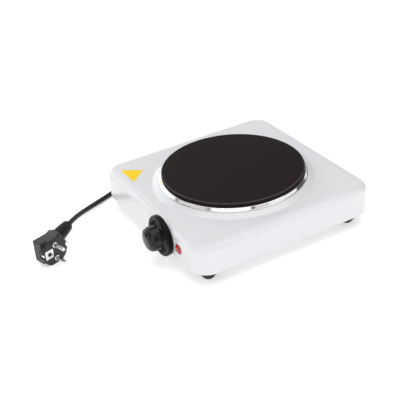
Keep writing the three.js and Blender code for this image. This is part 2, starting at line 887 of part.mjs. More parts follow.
// ---------------------------------------------------------------------------------------------
// Cord inlet, clamp, terminal block and wires
// ---------------------------------------------------------------------------------------------
// Turned round the inlet's axis, with +Z outwards from the left wall.
function strainRelief() {
  return turned([
    [0, -reliefInner],
    [reliefFlangeRadius - 0.6, -reliefInner],
    [reliefFlangeRadius - 0.6, -sheet - gap],
    [reliefNeckRadius, -sheet - gap],
    [reliefNeckRadius, gap],
    [reliefFlangeRadius, gap],
    [reliefFlangeRadius, reliefFlange],
    [reliefRootRadius, reliefFlange + 0.6],
    [reliefTipRadius, reliefLength],
    [0, reliefLength],
  ], 16);
}

function cordTail() {
  const start = leftFace + reliefInner + gap;
  return disc(cordRadius, start, tailEnd, 12).rotateY(Math.PI / 2).translate(0, exitY, exitHeight);
}

function anchorBlock() {
  const blockTop = exitHeight - cordRadius - gap;
  const screwY = exitY + clampScrewOffset;
  const block = solid(box(
    anchorX - anchorLength / 2, anchorX + anchorLength / 2,
    exitY - anchorRear, exitY + clampEar + anchorMargin, baseTop + gap, blockTop));
  const hole = disc(clampScrewRadius + gap, blockTop - clampScrewDepth - gap, blockTop + cutOver, 12);
  return geometryOf(block.subtract(solid(hole.translate(anchorX, screwY, 0))));
}

// A P-clip: a strap over the cord with one flat ear on the block.
function cordClamp() {
  const inner = cordRadius + gap;
  const outer = inner + clampSheet;
  const earBottom = -cordRadius;
  const shape = new THREE.Shape();
  shape.moveTo(clampEar, earBottom);
  shape.lineTo(clampEar, earBottom + clampSheet);
  shape.lineTo(outer, earBottom + clampSheet);
  shape.absarc(0, 0, outer, 0, Math.PI);
  shape.lineTo(-outer, earBottom);
  shape.lineTo(-inner, earBottom);
  shape.absarc(0, 0, inner, Math.PI, 0, true);
  shape.lineTo(inner, earBottom);
  shape.closePath();
  const strap = solid(extruded(shape, -clampLength / 2, clampLength / 2, 5));
  const hole = disc(clampScrewRadius + gap, -clampLength, clampLength, 12).rotateX(Math.PI / 2)
    .translate(clampScrewOffset, 0, 0);
  const clip = geometryOf(strap.subtract(solid(hole)));
  return clip.rotateX(Math.PI / 2).rotateZ(Math.PI / 2).translate(anchorX, exitY, exitHeight);
}

function clampScrew() {
  const seat = exitHeight - cordRadius + clampSheet + gap;
  const screw = turned([
    [0, seat + clampScrewHeadHeight],
    [clampScrewHead * 0.8, seat + clampScrewHeadHeight],
    [clampScrewHead, seat + 0.6],
    [clampScrewHead, seat],
    [clampScrewRadius, seat],
    [clampScrewRadius, seat - clampScrewDepth],
    [0, seat - clampScrewDepth],
  ], 12);
  return screw.translate(anchorX, exitY + clampScrewOffset, 0);
}

function mainsTerminalBlock() {
  const floor = baseTop + gap;
  let block = solid(box(
    blockX - blockLength / 2, blockX + blockLength / 2,
    exitY - blockWidth / 2, exitY + blockWidth / 2, floor, floor + blockHeight));
  for (const way of [-1, 0, 1]) {
    const bore = disc(wayRadius, -blockLength, blockLength, 10).rotateY(Math.PI / 2);
    block = block.subtract(solid(bore.translate(blockX, exitY + way * wayPitch, wayHeight)));
    const screwWell = disc(2.4, wayHeight, floor + blockHeight + cutOver, 12);
    block = block.subtract(solid(screwWell.translate(blockX, exitY + way * wayPitch, 0)));
  }
  return geometryOf(block);
}

// A core from the cord's end into one way of the terminal block.
function coreWire(way) {
  const start = tailEnd + gap;
  const inBlock = blockX - blockLength / 2 + 4;
  return tube([
    [start, exitY + way * 1.7, exitHeight - 1],
    [start + 1.5, exitY + way * 1.7, exitHeight - 1],
    [inBlock - 5.5, exitY + way * wayPitch, wayHeight],
    [inBlock, exitY + way * wayPitch, wayHeight],
  ], wireRadius, 12, 6);
}

function earthWire() {
  const lugZ = baseTop + gap;
  const wire = solid(tube([
    [tailEnd + gap, exitY, exitHeight + 1.9],
    [tailEnd + 2, exitY, exitHeight + 1.9],
    [tailEnd + 5.5, exitY + 4, exitHeight + 3.4],
    [tailEnd + 6.5, exitY + 12, exitHeight + 3],
    [tailEnd + 5, exitY + 22, exitHeight - 2],
    [tailEnd + 6, exitY + 29, lugZ + 4],
    [earthX - earthLugRadius + 0.8, earthY, lugZ + wireRadius],
  ], wireRadius, 20, 6));
  const lug = solid(disc(earthLugRadius, lugZ, lugZ + earthLugSheet, 16).translate(earthX, earthY, 0));
  const boreCutter = disc(earthScrewRadius + gap, lugZ - cutOver, lugZ + cutOver, 12);
  const bore = solid(boreCutter.translate(earthX, earthY, 0));
  return geometryOf(wire.add(lug).subtract(bore));
}

function earthScrew() {
  const seat = bottom - gap;
  const screw = turned([
    [0, seat - 1.8],
    [3.4, seat - 1.8],
    [3.4, seat],
    [earthScrewRadius, seat],
    [earthScrewRadius, baseTop + 5.5],
    [0, baseTop + 5.5],
  ], 12);
  return screw.translate(earthX, earthY, 0);
}

// Leads from the block's inner side, along the base plate to where each one ends.
function leads() {
  const blockSide = blockX + blockLength / 2 - 4;
  const spadeBottom = coilLegBottom - gap - spadeLength - gap;
  const [nearX, nearY] = terminalAt(coilInnerRadius);
  const [farX, farY] = terminalAt(coilOuterRadius);
  const tailX = knobX - armTail - gap;
  const fixedY = frontFace - (fixedArmTop + fixedArmBack) / 2;
  const movingY = frontFace - (movingArmTop + movingArmBack) / 2;
  const low = baseTop + 4;
  const live = [
    [blockSide, exitY + wayPitch, wayHeight],
    [blockSide + 5.5, exitY + wayPitch, wayHeight],
    [blockSide + 12, exitY + wayPitch, wayHeight - 1],
    [blockSide + 42, exitY - 4, low],
    [4, exitY - 34, low],
    [12, 10, low],
    [9, -30, low],
    [2, frontFace + 65.5, low + 1],
    [-4, frontFace + 43.5, low + 6],
    [tailX - 6, fixedY + 1.5, knobZ - 1],
    [tailX - 2, fixedY, knobZ],
    [tailX, fixedY, knobZ],
  ];
  const neutral = [
    [blockSide, exitY - wayPitch, wayHeight],
    [blockSide + 5.5, exitY - wayPitch, wayHeight],
    [blockSide + 12, exitY - wayPitch - 1, wayHeight - 1],
    [blockSide + 26, exitY - 28, low],
    [-31, 22, low],
    [nearX - 7, nearY + 39, low],
    [nearX - 2, nearY + 15, low],
    [nearX, nearY + 1, spadeBottom - 4],
    [nearX, nearY, spadeBottom - 2],
    [nearX, nearY, spadeBottom],
  ];
  const switched = [
    [tailX, movingY, knobZ],
    [tailX - 2, movingY, knobZ],
    [tailX - 7, movingY - 0.5, knobZ - 1],
    [-16, frontFace + 26.5, knobZ - 5],
    [-24, frontFace + 39.5, low + 4],
    [farX, farY - 1, spadeBottom - 4],
    [farX, farY, spadeBottom - 2],
    [farX, farY, spadeBottom],
  ];
  return { live, neutral, switched };
}

// ---------------------------------------------------------------------------------------------
// Mains cord outside the housing
// ---------------------------------------------------------------------------------------------
// From the strain relief down to the coil's top layer, points [x, y, z].
const cordFromBody = [
  [-147.8, 80, 30],
  [-150.5, 80, 29.8],
  [-157.5, 78.9, 28.8],
  [-165.5, 75.6, 26.6],
  [-172.3, 70.3, 23.1],
  [-177.6, 63.5, 19.8],
  [-180.9, 55.5, 17.1],
  [-182, 47, 14.9],
  [-182.2, 39, 13.4],
  [-182.1, 32.5, 12.4],
  [-182, 27, 11.9],
];
// From the coil's bottom layer along the floor and up to the plug's sleeve.
const cordToPlug = [
  [-181.8, 8, 4.6],
  [-180.8, -6, 4.2],
  [-177.8, -24, 3.6],
  [-172.6, -44, 3.5],
  [-165.8, -64, 3.5],
  [-158.2, -82, 3.5],
  [-150, -97.6, 3.5],
  [-141.6, -113.2, 3.6],
  [-131.2, -135.4, 4.4],
  [-118.3, -158.9, 7.2],
  [-102.9, -179.6, 12],
  [-88.3, -195, 16.2],
  [-79.5, -204.5, 17.6],
];

function coilRing() {
  const inner = coilRingRadius - coilRingWidth / 2;
  const outer = coilRingRadius + coilRingWidth / 2;
  const crown = coilRingFloor + coilRingHeight;
  const soft = 2;
  return turned([
    [inner + soft, coilRingFloor],
    [outer - soft, coilRingFloor],
    [outer, coilRingFloor + soft],
    [outer, crown - soft],
    [outer - soft, crown],
    [inner + soft, crown],
    [inner, crown - soft],
    [inner, coilRingFloor + soft],
  ], 32).translate(coilRingX, coilRingY, 0);
}

// The space round the coil that its two straight ends must leave free.
function coilEnvelope() {
  const outer = coilRingRadius + coilRingWidth / 2 + gap;
  const block = disc(outer, 0, coilRingFloor + coilRingHeight + gap, 40);
  return solid(block.translate(coilRingX, coilRingY, 0));
}

function cordPiece(points, steps) {
  return geometryOf(solid(tube(points, cordRadius, steps, 10)).subtract(coilEnvelope()));
}

// A strap round the coil's section, at the rear of the coil.
function cordTie() {
  const innerWidth = coilRingWidth + 2 * tieSlack;
  const innerHeight = coilRingHeight + 2 * gap;
  const shape = roundedRectangle(innerWidth + 2 * tieSheet, innerHeight + 2 * tieSheet, 2.4);
  const opening = new THREE.Path(roundedRectangle(innerWidth, innerHeight, 1.5).getPoints(3));
  shape.holes.push(opening);
  return extruded(shape, -tieWidth / 2, tieWidth / 2, 3).rotateX(Math.PI / 2).rotateZ(Math.PI / 2)
    .translate(coilRingX, coilRingY + coilRingRadius, coilRingFloor + coilRingHeight / 2);
}

// ---------------------------------------------------------------------------------------------
// Plug, in its own group
// ---------------------------------------------------------------------------------------------
function plugOutline(radius, flat) {
  const angle = Math.asin(flat / radius);
  const shape = new THREE.Shape();
  shape.absarc(0, 0, radius, -angle, angle);
  shape.absarc(0, 0, radius, Math.PI - angle, Math.PI + angle);
  shape.closePath();
  return shape;
}

function plugBody() {
  const settings = {
    depth: plugThickness - 2 * plugEdge,
    bevelThickness: plugEdge,
    bevelSize: plugEdge,
    bevelSegments: 1,
    curveSegments: 6,
  };
  // The outline lies in Y and Z and is swept from the face back along -X.
  const shell = new THREE.ExtrudeGeometry(plugOutline(plugRadius - plugEdge, plugFlat - plugEdge), settings)
    .rotateY(-Math.PI / 2).rotateX(Math.PI / 2).translate(-plugEdge, 0, 0);
  const axis = sleeveEnd.clone().sub(sleeveStart);
  const sleeve = new THREE.CylinderGeometry(sleeveTipRadius, sleeveRootRadius, axis.length(), 16)
    .rotateZ(Math.atan2(-axis.x, axis.y)).translate(
      (sleeveStart.x + sleeveEnd.x) / 2, (sleeveStart.y + sleeveEnd.y) / 2, 0);
  const hump = extruded(polygon([
    [-plugThickness + 4, -9],
    [-plugThickness - 3, 3],
    [-plugThickness - 9, 17],
    [-plugThickness + 4, 17],
  ]), -plugFlat * 0.72, plugFlat * 0.72);
  let body = solid(shell).add(solid(sleeve)).add(solid(hump));
  for (const side of [-1, 1]) {
    const pinZ = (side * plugPinPitch) / 2;
    const collar = disc(plugCollarRadius, -plugEdge, plugCollarHeight, 12).rotateY(Math.PI / 2);
    body = body.add(solid(collar.translate(0, 0, pinZ)));
    const hole = disc(plugPinRadius + gap, -plugPinRoot - gap, cutOver, 12).rotateY(Math.PI / 2);
    body = body.subtract(solid(hole.translate(0, 0, pinZ)));
    const notch = box(
      -earthClipLength - gap, cutOver, plugRadius - notchDepth, plugRadius + cutOver,
      -earthClipWidth / 2 - gap, earthClipWidth / 2 + gap);
    if (side < 0) notch.rotateX(Math.PI);
    body = body.subtract(solid(notch));
  }
  const earthBore = disc(earthHoleRadius + 0.4, -12, cutOver, 12).rotateY(Math.PI / 2);
  return geometryOf(body.subtract(solid(earthBore.translate(0, -earthHoleOffset, 0))));
}

function plugPin(side) {
  const chamfer = 1.6;
  return turned([
    [0, -plugPinRoot],
    [plugPinRadius, -plugPinRoot],
    [plugPinRadius, plugPinLength - chamfer],
    [plugPinRadius * 0.62, plugPinLength],
    [0, plugPinLength],
  ], 12).rotateY(Math.PI / 2).translate(0, 0, (side * plugPinPitch) / 2);
}

// The earth contact: a square plate on the face, bent over the rim into a side clip.
function plugEarthPlate() {
  const clipY = -plugRadius + 1.4;
  const face = solid(box(
    gap, gap + earthPlateSheet,
    -earthHoleOffset - earthPlateSize / 2, -earthHoleOffset + earthPlateSize / 2,
    -earthPlateSize / 2, earthPlateSize / 2));
  const bridge = solid(box(
    gap, gap + earthPlateSheet, clipY - earthPlateSheet, -earthHoleOffset, -earthClipWidth / 2,
    earthClipWidth / 2));
  const clip = solid(box(
    -earthClipLength + gap, gap + earthPlateSheet, clipY - earthPlateSheet, clipY, -earthClipWidth / 2,
    earthClipWidth / 2));
  const hole = disc(earthHoleRadius, -cutOver, cutOver + 1, 12).rotateY(Math.PI / 2)
    .translate(0, -earthHoleOffset, 0);
  return geometryOf(face.add(bridge).add(clip).subtract(solid(hole)));
}

// ---------------------------------------------------------------------------------------------
// Sticker
// ---------------------------------------------------------------------------------------------
function sticker() {
  const shape = polygon([
    [-stickerSide / 2, 0],
    [stickerSide / 2, 0],
    [-1.5, stickerRise],
  ]);
  return extruded(shape, top + gap, top + gap + stickerSheet).translate(stickerX, stickerY, 0);
}

// ---------------------------------------------------------------------------------------------
// Assembly
// ---------------------------------------------------------------------------------------------
add("housing", housing(), enamel);
add("base_plate", basePlate(), galvanised);
for (const [name, x, y] of corners()) {
  add(`foot_${name}`, foot(), blackRubber).position.set(x, y, 0);
  add(`foot_screw_${name}`, footScrew(), plated).position.set(x, y, 0);
}

add("hot_plate", hotPlate(), castIron);
add("spill_ring", spillRing(), stainless);
add("heating_coil", tube(heatingCoilRoute(), coilWireRadius, 64, 6), springSteel);
add("heat_shield", heatShield(), galvanised);
add("element_terminal_block", elementTerminalBlock(), ceramic);
add("element_spade_inner", elementSpade(coilInnerRadius), brassFinish);
add("element_spade_outer", elementSpade(coilOuterRadius), brassFinish);
add("clamp_bridge", clampBridge(), galvanised);
add("centre_stud", disc(studRadius, studBottom, studTop, 24), plated);
add("stud_washer", washer(), plated);
add("stud_nut", studNut(), plated);

const control = new THREE.Group();
control.rotation.x = Math.PI / 2;
control.position.set(knobX, frontFace, knobZ);
appliance.add(control);
add("knob", knob(), blackGloss, control);
add("knob_bezel", knobBezel(), blackGloss, control);
add("bush_nut", bushNut(), plated, control);
add("thermostat_bush", thermostatBush(), brassFinish, control);
add("thermostat_frame", thermostatFrame(), galvanised, control);
add("spindle", spindle(), plated, control);
add("push_pin", disc(pinRadius, pinTop - pinLength, pinTop, 12), ceramic, control);
add("moving_contact_arm", movingContactArm(), springSteel, control);
add("fixed_contact_arm", fixedContactArm(), brassFinish, control);
add("bimetal_strip", bimetalStrip(), springSteel, control);
const spacers = [
  ["stack_spacer_front", movingArmTop + gap, frameInner - gap],
  ["stack_spacer_middle", fixedArmTop + gap, movingArmBack - gap],
  ["stack_spacer_rear", bimetalTop + gap, fixedArmBack - gap],
];
for (const [name, z0, z1] of spacers) {
  add(name, stackSpacer(z0, z1), ceramic, control).position.x = -stackOffset;
}
add("stack_rivet", stackRivet(), plated, control).position.x = -stackOffset;

const lamp = new THREE.Group();
lamp.rotation.x = Math.PI / 2;
lamp.position.set(lampX, frontFace, lampZ);
appliance.add(lamp);
add("lamp_lens", lampLens(), redLens, lamp);
add("neon_tube", neonTube(), glassClear, lamp);
add("lamp_clip", lampClip(), plated, lamp);

const inlet = add("cord_strain_relief", strainRelief(), blackRubber);
inlet.rotation.y = -Math.PI / 2;
inlet.position.set(leftFace, exitY, exitHeight);
add("cord_tail", cordTail(), blackPvc);
add("cord_anchor_block", anchorBlock(), ceramic);
add("cord_clamp", cordClamp(), plated);
add("clamp_screw", clampScrew(), plated);
add("mains_terminal_block", mainsTerminalBlock(), ceramic);
add("live_wire", coreWire(1), brownWire);
add("neutral_wire", coreWire(-1), blueWire);
add("earth_wire", earthWire(), greenWire);
add("earth_screw", earthScrew(), brassFinish);
const leadRoutes = leads();
add("live_lead", tube(leadRoutes.live, leadRadius, 36, 6), brownWire);
add("neutral_lead", tube(leadRoutes.neutral, leadRadius, 28, 6), blueWire);
add("switched_lead", tube(leadRoutes.switched, leadRadius, 20, 6), brownWire);

add("power_cord_body_side", cordPiece(cordFromBody, 8), blackPvc);
add("power_cord_plug_side", cordPiece(cordToPlug, 20), blackPvc);
add("cord_coil", coilRing(), blackPvc);
add("cord_tie", cordTie(), blackRubber);

const plug = new THREE.Group();
plug.rotation.z = THREE.MathUtils.degToRad(plugYaw);
plug.position.set(plugX, plugY, plugHeight);
appliance.add(plug);
add("plug_body", plugBody(), blackPvc, plug);
add("plug_pin_upper", plugPin(1), plated, plug);
add("plug_pin_lower", plugPin(-1), plated, plug);
add("plug_earth_plate", plugEarthPlate(), plated, plug);

add("yellow_sticker", sticker(), stickerYellow);

// The origin is under the middle of the appliance's own box, which the knob makes longer in front.
appliance.position.y = knobFront / 2;
const part = new THREE.Group();
part.add(appliance);

export default part;
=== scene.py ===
import json
import math

import bmesh
import bpy
from mathutils import Matrix, Vector


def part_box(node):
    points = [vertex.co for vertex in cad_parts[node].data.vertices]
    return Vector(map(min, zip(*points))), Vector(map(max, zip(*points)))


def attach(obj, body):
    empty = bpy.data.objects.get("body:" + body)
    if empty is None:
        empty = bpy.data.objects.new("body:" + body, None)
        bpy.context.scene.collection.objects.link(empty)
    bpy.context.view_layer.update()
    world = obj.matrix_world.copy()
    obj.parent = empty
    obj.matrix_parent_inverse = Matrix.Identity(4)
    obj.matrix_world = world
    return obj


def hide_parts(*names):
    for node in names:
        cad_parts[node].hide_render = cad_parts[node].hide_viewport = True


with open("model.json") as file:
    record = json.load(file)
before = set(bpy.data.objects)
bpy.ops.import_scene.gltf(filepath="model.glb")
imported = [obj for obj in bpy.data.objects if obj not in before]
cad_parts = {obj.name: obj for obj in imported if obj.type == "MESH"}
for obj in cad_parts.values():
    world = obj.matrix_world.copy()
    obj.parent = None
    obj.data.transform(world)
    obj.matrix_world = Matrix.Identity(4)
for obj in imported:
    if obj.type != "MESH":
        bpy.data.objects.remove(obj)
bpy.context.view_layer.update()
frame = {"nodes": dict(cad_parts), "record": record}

# A single electric hot plate on a pale studio floor, in metres, +Z up and the controls towards -Y.
# Lengths are written in millimetres and pass through mm().


def mm(value):
    return value * 0.001


def point(x, y, z):
    return Vector((mm(x), mm(y), mm(z)))


plate_low, plate_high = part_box("hot_plate")
housing_low, housing_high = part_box("housing")
bezel_low, bezel_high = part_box("knob_bezel")
lamp_low, lamp_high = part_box("lamp_lens")
PLATE_TOP = plate_high[2]
MIDDLE_Y = (plate_low[1] + plate_high[1]) / 2
BOTTOM = housing_low[2]
PLATE_RISE = 14.4
HOUSING_TOP = PLATE_TOP - mm(PLATE_RISE)
SEAT_GAP = 0.3
FRONT = housing_low[1]
LEFT = housing_low[0]
AXIS = Matrix.Translation((0, MIDDLE_Y, 0))

# ---------------------------------------------------------------------------------------------
# Camera
# ---------------------------------------------------------------------------------------------
CAMERA_AT = point(876.8, -504.4, 631.0)
CAMERA_TARGET = point(-1.0, -38.2, 37.0)
CAMERA_ROLL = math.radians(-4.79)

lens = bpy.data.cameras.new("camera")
lens.lens = 81.4
lens.sensor_width = 36
camera = bpy.data.objects.new("camera", lens)
aim = (CAMERA_TARGET - CAMERA_AT).to_track_quat("-Z", "Y").to_matrix().to_4x4()
camera.matrix_world = Matrix.Translation(CAMERA_AT) @ aim @ Matrix.Rotation(CAMERA_ROLL, 4, "Z")
bpy.context.scene.collection.objects.link(camera)
bpy.context.scene.camera = camera


# ---------------------------------------------------------------------------------------------
# Shader groups shared by the finishes
# ---------------------------------------------------------------------------------------------
def shader_group(name, inputs, outputs):
    group = bpy.data.node_groups.new(name, "ShaderNodeTree")
    for label, kind, default in inputs:
        socket = group.interface.new_socket(name=label, in_out="INPUT", socket_type=kind)
        if default is not None:
            socket.default_value = default
    for label, kind in outputs:
        group.interface.new_socket(name=label, in_out="OUTPUT", socket_type=kind)
    return group, group.nodes.new("NodeGroupInput"), group.nodes.new("NodeGroupOutput")


def feed(tree, value, socket):
    """Set a socket to a number, or link another socket to it."""
    if isinstance(value, (int, float)):
        socket.default_value = value
    else:
        tree.links.new(value, socket)


def maths(tree, operation, *values):
    node = tree.nodes.new("ShaderNodeMath")
    node.operation = operation
    for socket, value in zip(node.inputs, values):
        feed(tree, value, socket)
    return node.outputs[0]


def noise(tree, vector, scale, detail=4.0, rough=0.55, distortion=0.0):
    node = tree.nodes.new("ShaderNodeTexNoise")
    node.inputs["Detail"].default_value = detail
    node.inputs["Roughness"].default_value = rough
    node.inputs["Distortion"].default_value = distortion
    tree.links.new(vector, node.inputs["Vector"])
    feed(tree, scale, node.inputs["Scale"])
    return node.outputs["Fac"]


def spread(tree, value, low, high, to_low=0.0, to_high=1.0):
    node = tree.nodes.new("ShaderNodeMapRange")
    node.inputs["From Min"].default_value = low
    node.inputs["From Max"].default_value = high
    node.inputs["To Min"].default_value = to_low
    node.inputs["To Max"].default_value = to_high
    tree.links.new(value, node.inputs["Value"])
    return node.outputs["Result"]


def grain_group():
    """Fine grain over a coarser one."""
    group, given, result = shader_group(
        "fine_grain",
        [("Vector", "NodeSocketVector", None), ("Scale", "NodeSocketFloat", 800.0)],
        [("Grain", "NodeSocketFloat")])
    fine = noise(group, given.outputs["Vector"], given.outputs["Scale"], 5.0, 0.6)
    coarse_scale = maths(group, "MULTIPLY", given.outputs["Scale"], 0.37)
    coarse = noise(group, given.outputs["Vector"], coarse_scale, 2.0)
    total = maths(group, "MULTIPLY_ADD", fine, 0.65, maths(group, "MULTIPLY", coarse, 0.35))
    group.links.new(spread(group, total, 0.3, 0.7), result.inputs["Grain"])
    return group


def handling_group():
    """Where hands and cloths have been: broad smears broken up by fine streaks."""
    group, given, result = shader_group(
        "handling",
        [("Vector", "NodeSocketVector", None), ("Scale", "NodeSocketFloat", 18.0)],
        [("Smears", "NodeSocketFloat")])
    broad = noise(group, given.outputs["Vector"], given.outputs["Scale"], 3.0, 0.5, 0.6)
    streak_scale = maths(group, "MULTIPLY", given.outputs["Scale"], 9.0)
    streaks = noise(group, given.outputs["Vector"], streak_scale, 3.0)
    smears = spread(group, broad, 0.42, 0.66)
    mixed = maths(group, "MULTIPLY", smears, spread(group, streaks, 0.3, 0.7, 0.55, 1.0))
    group.links.new(mixed, result.inputs["Smears"])
    return group


def turning_group():
    """Rings left by a lathe tool round the z axis, uneven from one ring to the next."""
    group, given, result = shader_group(
        "turning_rings",
        [("Vector", "NodeSocketVector", None), ("Pitch", "NodeSocketFloat", 0.001)],
        [(label, "NodeSocketFloat") for label in ("Rings", "Bands", "Radius")])
    flat = group.nodes.new("ShaderNodeVectorMath")
    flat.operation = "MULTIPLY"
    flat.inputs[1].default_value = (1.0, 1.0, 0.0)
    group.links.new(given.outputs["Vector"], flat.inputs[0])
    length = group.nodes.new("ShaderNodeVectorMath")
    length.operation = "LENGTH"
    group.links.new(flat.outputs["Vector"], length.inputs[0])
    radius = length.outputs["Value"]
    group.links.new(radius, result.inputs["Radius"])
    turns = maths(group, "DIVIDE", radius, given.outputs["Pitch"])
    wobble = noise(group, given.outputs["Vector"], 90.0, 2.0)
    phase = maths(group, "ADD", turns, maths(group, "MULTIPLY", wobble, 0.35))
    wave = maths(group, "SINE", maths(group, "MULTIPLY", phase, 2 * math.pi))
    group.links.new(spread(group, wave, -1.0, 1.0), result.inputs["Rings"])
    along = group.nodes.new("ShaderNodeCombineXYZ")
    group.links.new(maths(group, "MULTIPLY", turns, 0.31), along.inputs["X"])
    bands = noise(group, along.outputs["Vector"], 1.0, 3.0)
    group.links.new(spread(group, bands, 0.3, 0.7), result.inputs["Bands"])
    return group


def brushing_group():
    """Fine lines along one direction: the vector arrives already stretched by a Mapping node."""
    group, given, result = shader_group(
        "brushing",
        [("Vector", "NodeSocketVector", None), ("Scale", "NodeSocketFloat", 400.0)],
        [("Lines", "NodeSocketFloat")])
    lines = noise(group, given.outputs["Vector"], given.outputs["Scale"], 4.0, 0.7)
    group.links.new(spread(group, lines, 0.3, 0.7), result.inputs["Lines"])
    return group


GRAIN = grain_group()
HANDLING = handling_group()
TURNING = turning_group()
BRUSHING = brushing_group()


# ---------------------------------------------------------------------------------------------
# Finishes
# ---------------------------------------------------------------------------------------------
class Finish:
    """One material: a Principled shader with constant sockets, and a few ways to vary it."""

    def __init__(self, name, **constants):
        self.material = bpy.data.materials.new(name)
        self.material.use_nodes = True
        self.tree = self.material.node_tree
        self.shader = self.tree.nodes["Principled BSDF"]
        for socket, value in constants.items():
            self.shader.inputs[socket.replace("_", " ")].default_value = value
        self.place = self.tree.nodes.new("ShaderNodeTexCoord").outputs["Object"]
        self.height = None

    def placed(self, centre=(0, 0, 0), stretch=(1, 1, 1)):
        """Object coordinates moved and stretched."""
        node = self.tree.nodes.new("ShaderNodeMapping")
        node.vector_type = "TEXTURE"
        node.inputs["Location"].default_value = centre
        node.inputs["Scale"].default_value = stretch
        self.tree.links.new(self.place, node.inputs["Vector"])
        return node.outputs["Vector"]

    def effect(self, group, vector=None, **values):
        node = self.tree.nodes.new("ShaderNodeGroup")
        node.node_tree = group
        self.tree.links.new(vector or self.place, node.inputs["Vector"])
        for socket, value in values.items():
            node.inputs[socket].default_value = value
        return node.outputs

    def colour(self, mask, first, second):
        """The base colour runs from the first to the second; each is a shade or a socket."""
        node = self.tree.nodes.new("ShaderNodeMix")
        node.data_type = "RGBA"
        ends = [socket for socket in node.inputs if socket.type == "RGBA"]
        for socket, shade in zip(ends, (first, second)):
            if isinstance(shade, tuple):
                socket.default_value = (*shade, 1)
            else:
                self.tree.links.new(shade, socket)
        self.tree.links.new(mask, node.inputs[0])
        result = [socket for socket in node.outputs if socket.type == "RGBA"][0]
        self.tree.links.new(result, self.shader.inputs["Base Color"])

    def tint(self, mask, shade):
        """Lay a further colour over the base colour where the mask is high."""
        self.colour(mask, self.shader.inputs["Base Color"].links[0].from_socket, shade)

    def roughness(self, mask, low, high):
        rough = spread(self.tree, mask, 0.0, 1.0, low, high)
        self.tree.links.new(rough, self.shader.inputs["Roughness"])

    def bump(self, height, strength, distance):
        node = self.tree.nodes.new("ShaderNodeBump")
        node.inputs["Strength"].default_value = strength
        node.inputs["Distance"].default_value = distance
        self.tree.links.new(height, node.inputs["Height"])
        if self.height is not None:
            self.tree.links.new(self.height, node.inputs["Normal"])
        self.height = node.outputs["Normal"]
        self.tree.links.new(self.height, self.shader.inputs["Normal"])

    def both(self, first, second, share):
        """A weighted sum of two masks."""
        part = maths(self.tree, "MULTIPLY", first, 1 - share)
        return maths(self.tree, "ADD", part, maths(self.tree, "MULTIPLY", second, share))


def white_enamel():
    look = Finish("white_enamel", Coat_Weight=0.2, Coat_Roughness=0.14, IOR=1.5)
    smears = look.effect(HANDLING, Scale=11.0)["Smears"]
    peel = look.effect(GRAIN, Scale=150.0)["Grain"]
    look.colour(smears, (0.662, 0.674, 0.692), (0.650, 0.662, 0.680))
    look.roughness(smears, 0.20, 0.27)
    look.bump(peel, 0.012, mm(0.10))
    return look.material


def cast_iron_coating():
    look = Finish("cast_iron_coating", Specular_IOR_Level=0.05)
    axis = look.placed(centre=(0, MIDDLE_Y, 0))
    rings = look.effect(TURNING, axis, Pitch=mm(1.1))
    grain = look.effect(GRAIN, Scale=1500.0)["Grain"]
    worn = look.both(rings["Bands"], grain, 0.45)
    look.colour(worn, (0.0112, 0.0074, 0.0074), (0.0178, 0.0120, 0.0118))
    # Painted highlight: the chamfer round the rim is painted lighter, in patches, to stand in for the
    # light it catches.
    inside = spread(look.tree, rings["Radius"], mm(90.6), mm(91.6))
    outside = spread(look.tree, rings["Radius"], mm(92.1), mm(92.4), 1.0, 0.0)
    painted_chamfer_highlight = maths(look.tree, "MULTIPLY", inside, outside)
    patchy = spread(look.tree, grain, 0.0, 1.0, 0.5, 1.0)
    look.tint(maths(look.tree, "MULTIPLY", painted_chamfer_highlight, patchy), (0.085, 0.072, 0.071))
    look.roughness(worn, 0.42, 0.58)
    look.bump(rings["Rings"], 0.16, mm(0.05))
    look.bump(grain, 0.25, mm(0.05))
    return look.material


def polished_stainless():
    look = Finish("polished_stainless", Metallic=1.0)
    axis = look.placed(centre=(0, MIDDLE_Y, 0))
    rings = look.effect(TURNING, axis, Pitch=mm(0.35))
    smears = look.effect(HANDLING, Scale=30.0)["Smears"]
    look.colour(rings["Bands"], (0.72, 0.72, 0.73), (0.80, 0.80, 0.81))
    look.roughness(look.both(rings["Bands"], smears, 0.5), 0.08, 0.19)
    look.bump(rings["Rings"], 0.04, mm(0.02))
    return look.material


def brushed_metal(name, dark, light, low, high):
    look = Finish(name, Metallic=1.0)
    lines = look.effect(BRUSHING, look.placed(stretch=(1, 1, 12)), Scale=900.0)["Lines"]
    smears = look.effect(HANDLING, Scale=40.0)["Smears"]
    look.colour(look.both(lines, smears, 0.4), dark, light)
    look.roughness(look.both(lines, smears, 0.5), low, high)
    look.bump(lines, 0.06, mm(0.03))
    return look.material


def galvanised_sheet():
    look = Finish("galvanised_sheet", Metallic=1.0)
    cells = look.tree.nodes.new("ShaderNodeTexVoronoi")
    cells.inputs["Scale"].default_value = 130.0
    look.tree.links.new(look.place, cells.inputs["Vector"])
    flakes = look.tree.nodes.new("ShaderNodeSeparateColor")
    look.tree.links.new(cells.outputs["Color"], flakes.inputs["Color"])
    grain = look.effect(GRAIN, Scale=700.0)["Grain"]
    spangle = look.both(flakes.outputs[0], grain, 0.35)
    look.colour(spangle, (0.42, 0.43, 0.445), (0.60, 0.61, 0.62))
    look.roughness(spangle, 0.30, 0.52)
    look.bump(grain, 0.08, mm(0.04))
    return look.material


def moulded_plastic(name, dark, light, low, high, grain_scale, bump, **constants):
    look = Finish(name, **constants)
    grain = look.effect(GRAIN, Scale=grain_scale)["Grain"]
    smears = look.effect(HANDLING, Scale=35.0)["Smears"]
    look.colour(look.both(grain, smears, 0.5), dark, light)
    look.roughness(look.both(smears, grain, 0.4), low, high)
    look.bump(grain, bump, mm(0.06))
    return look.material


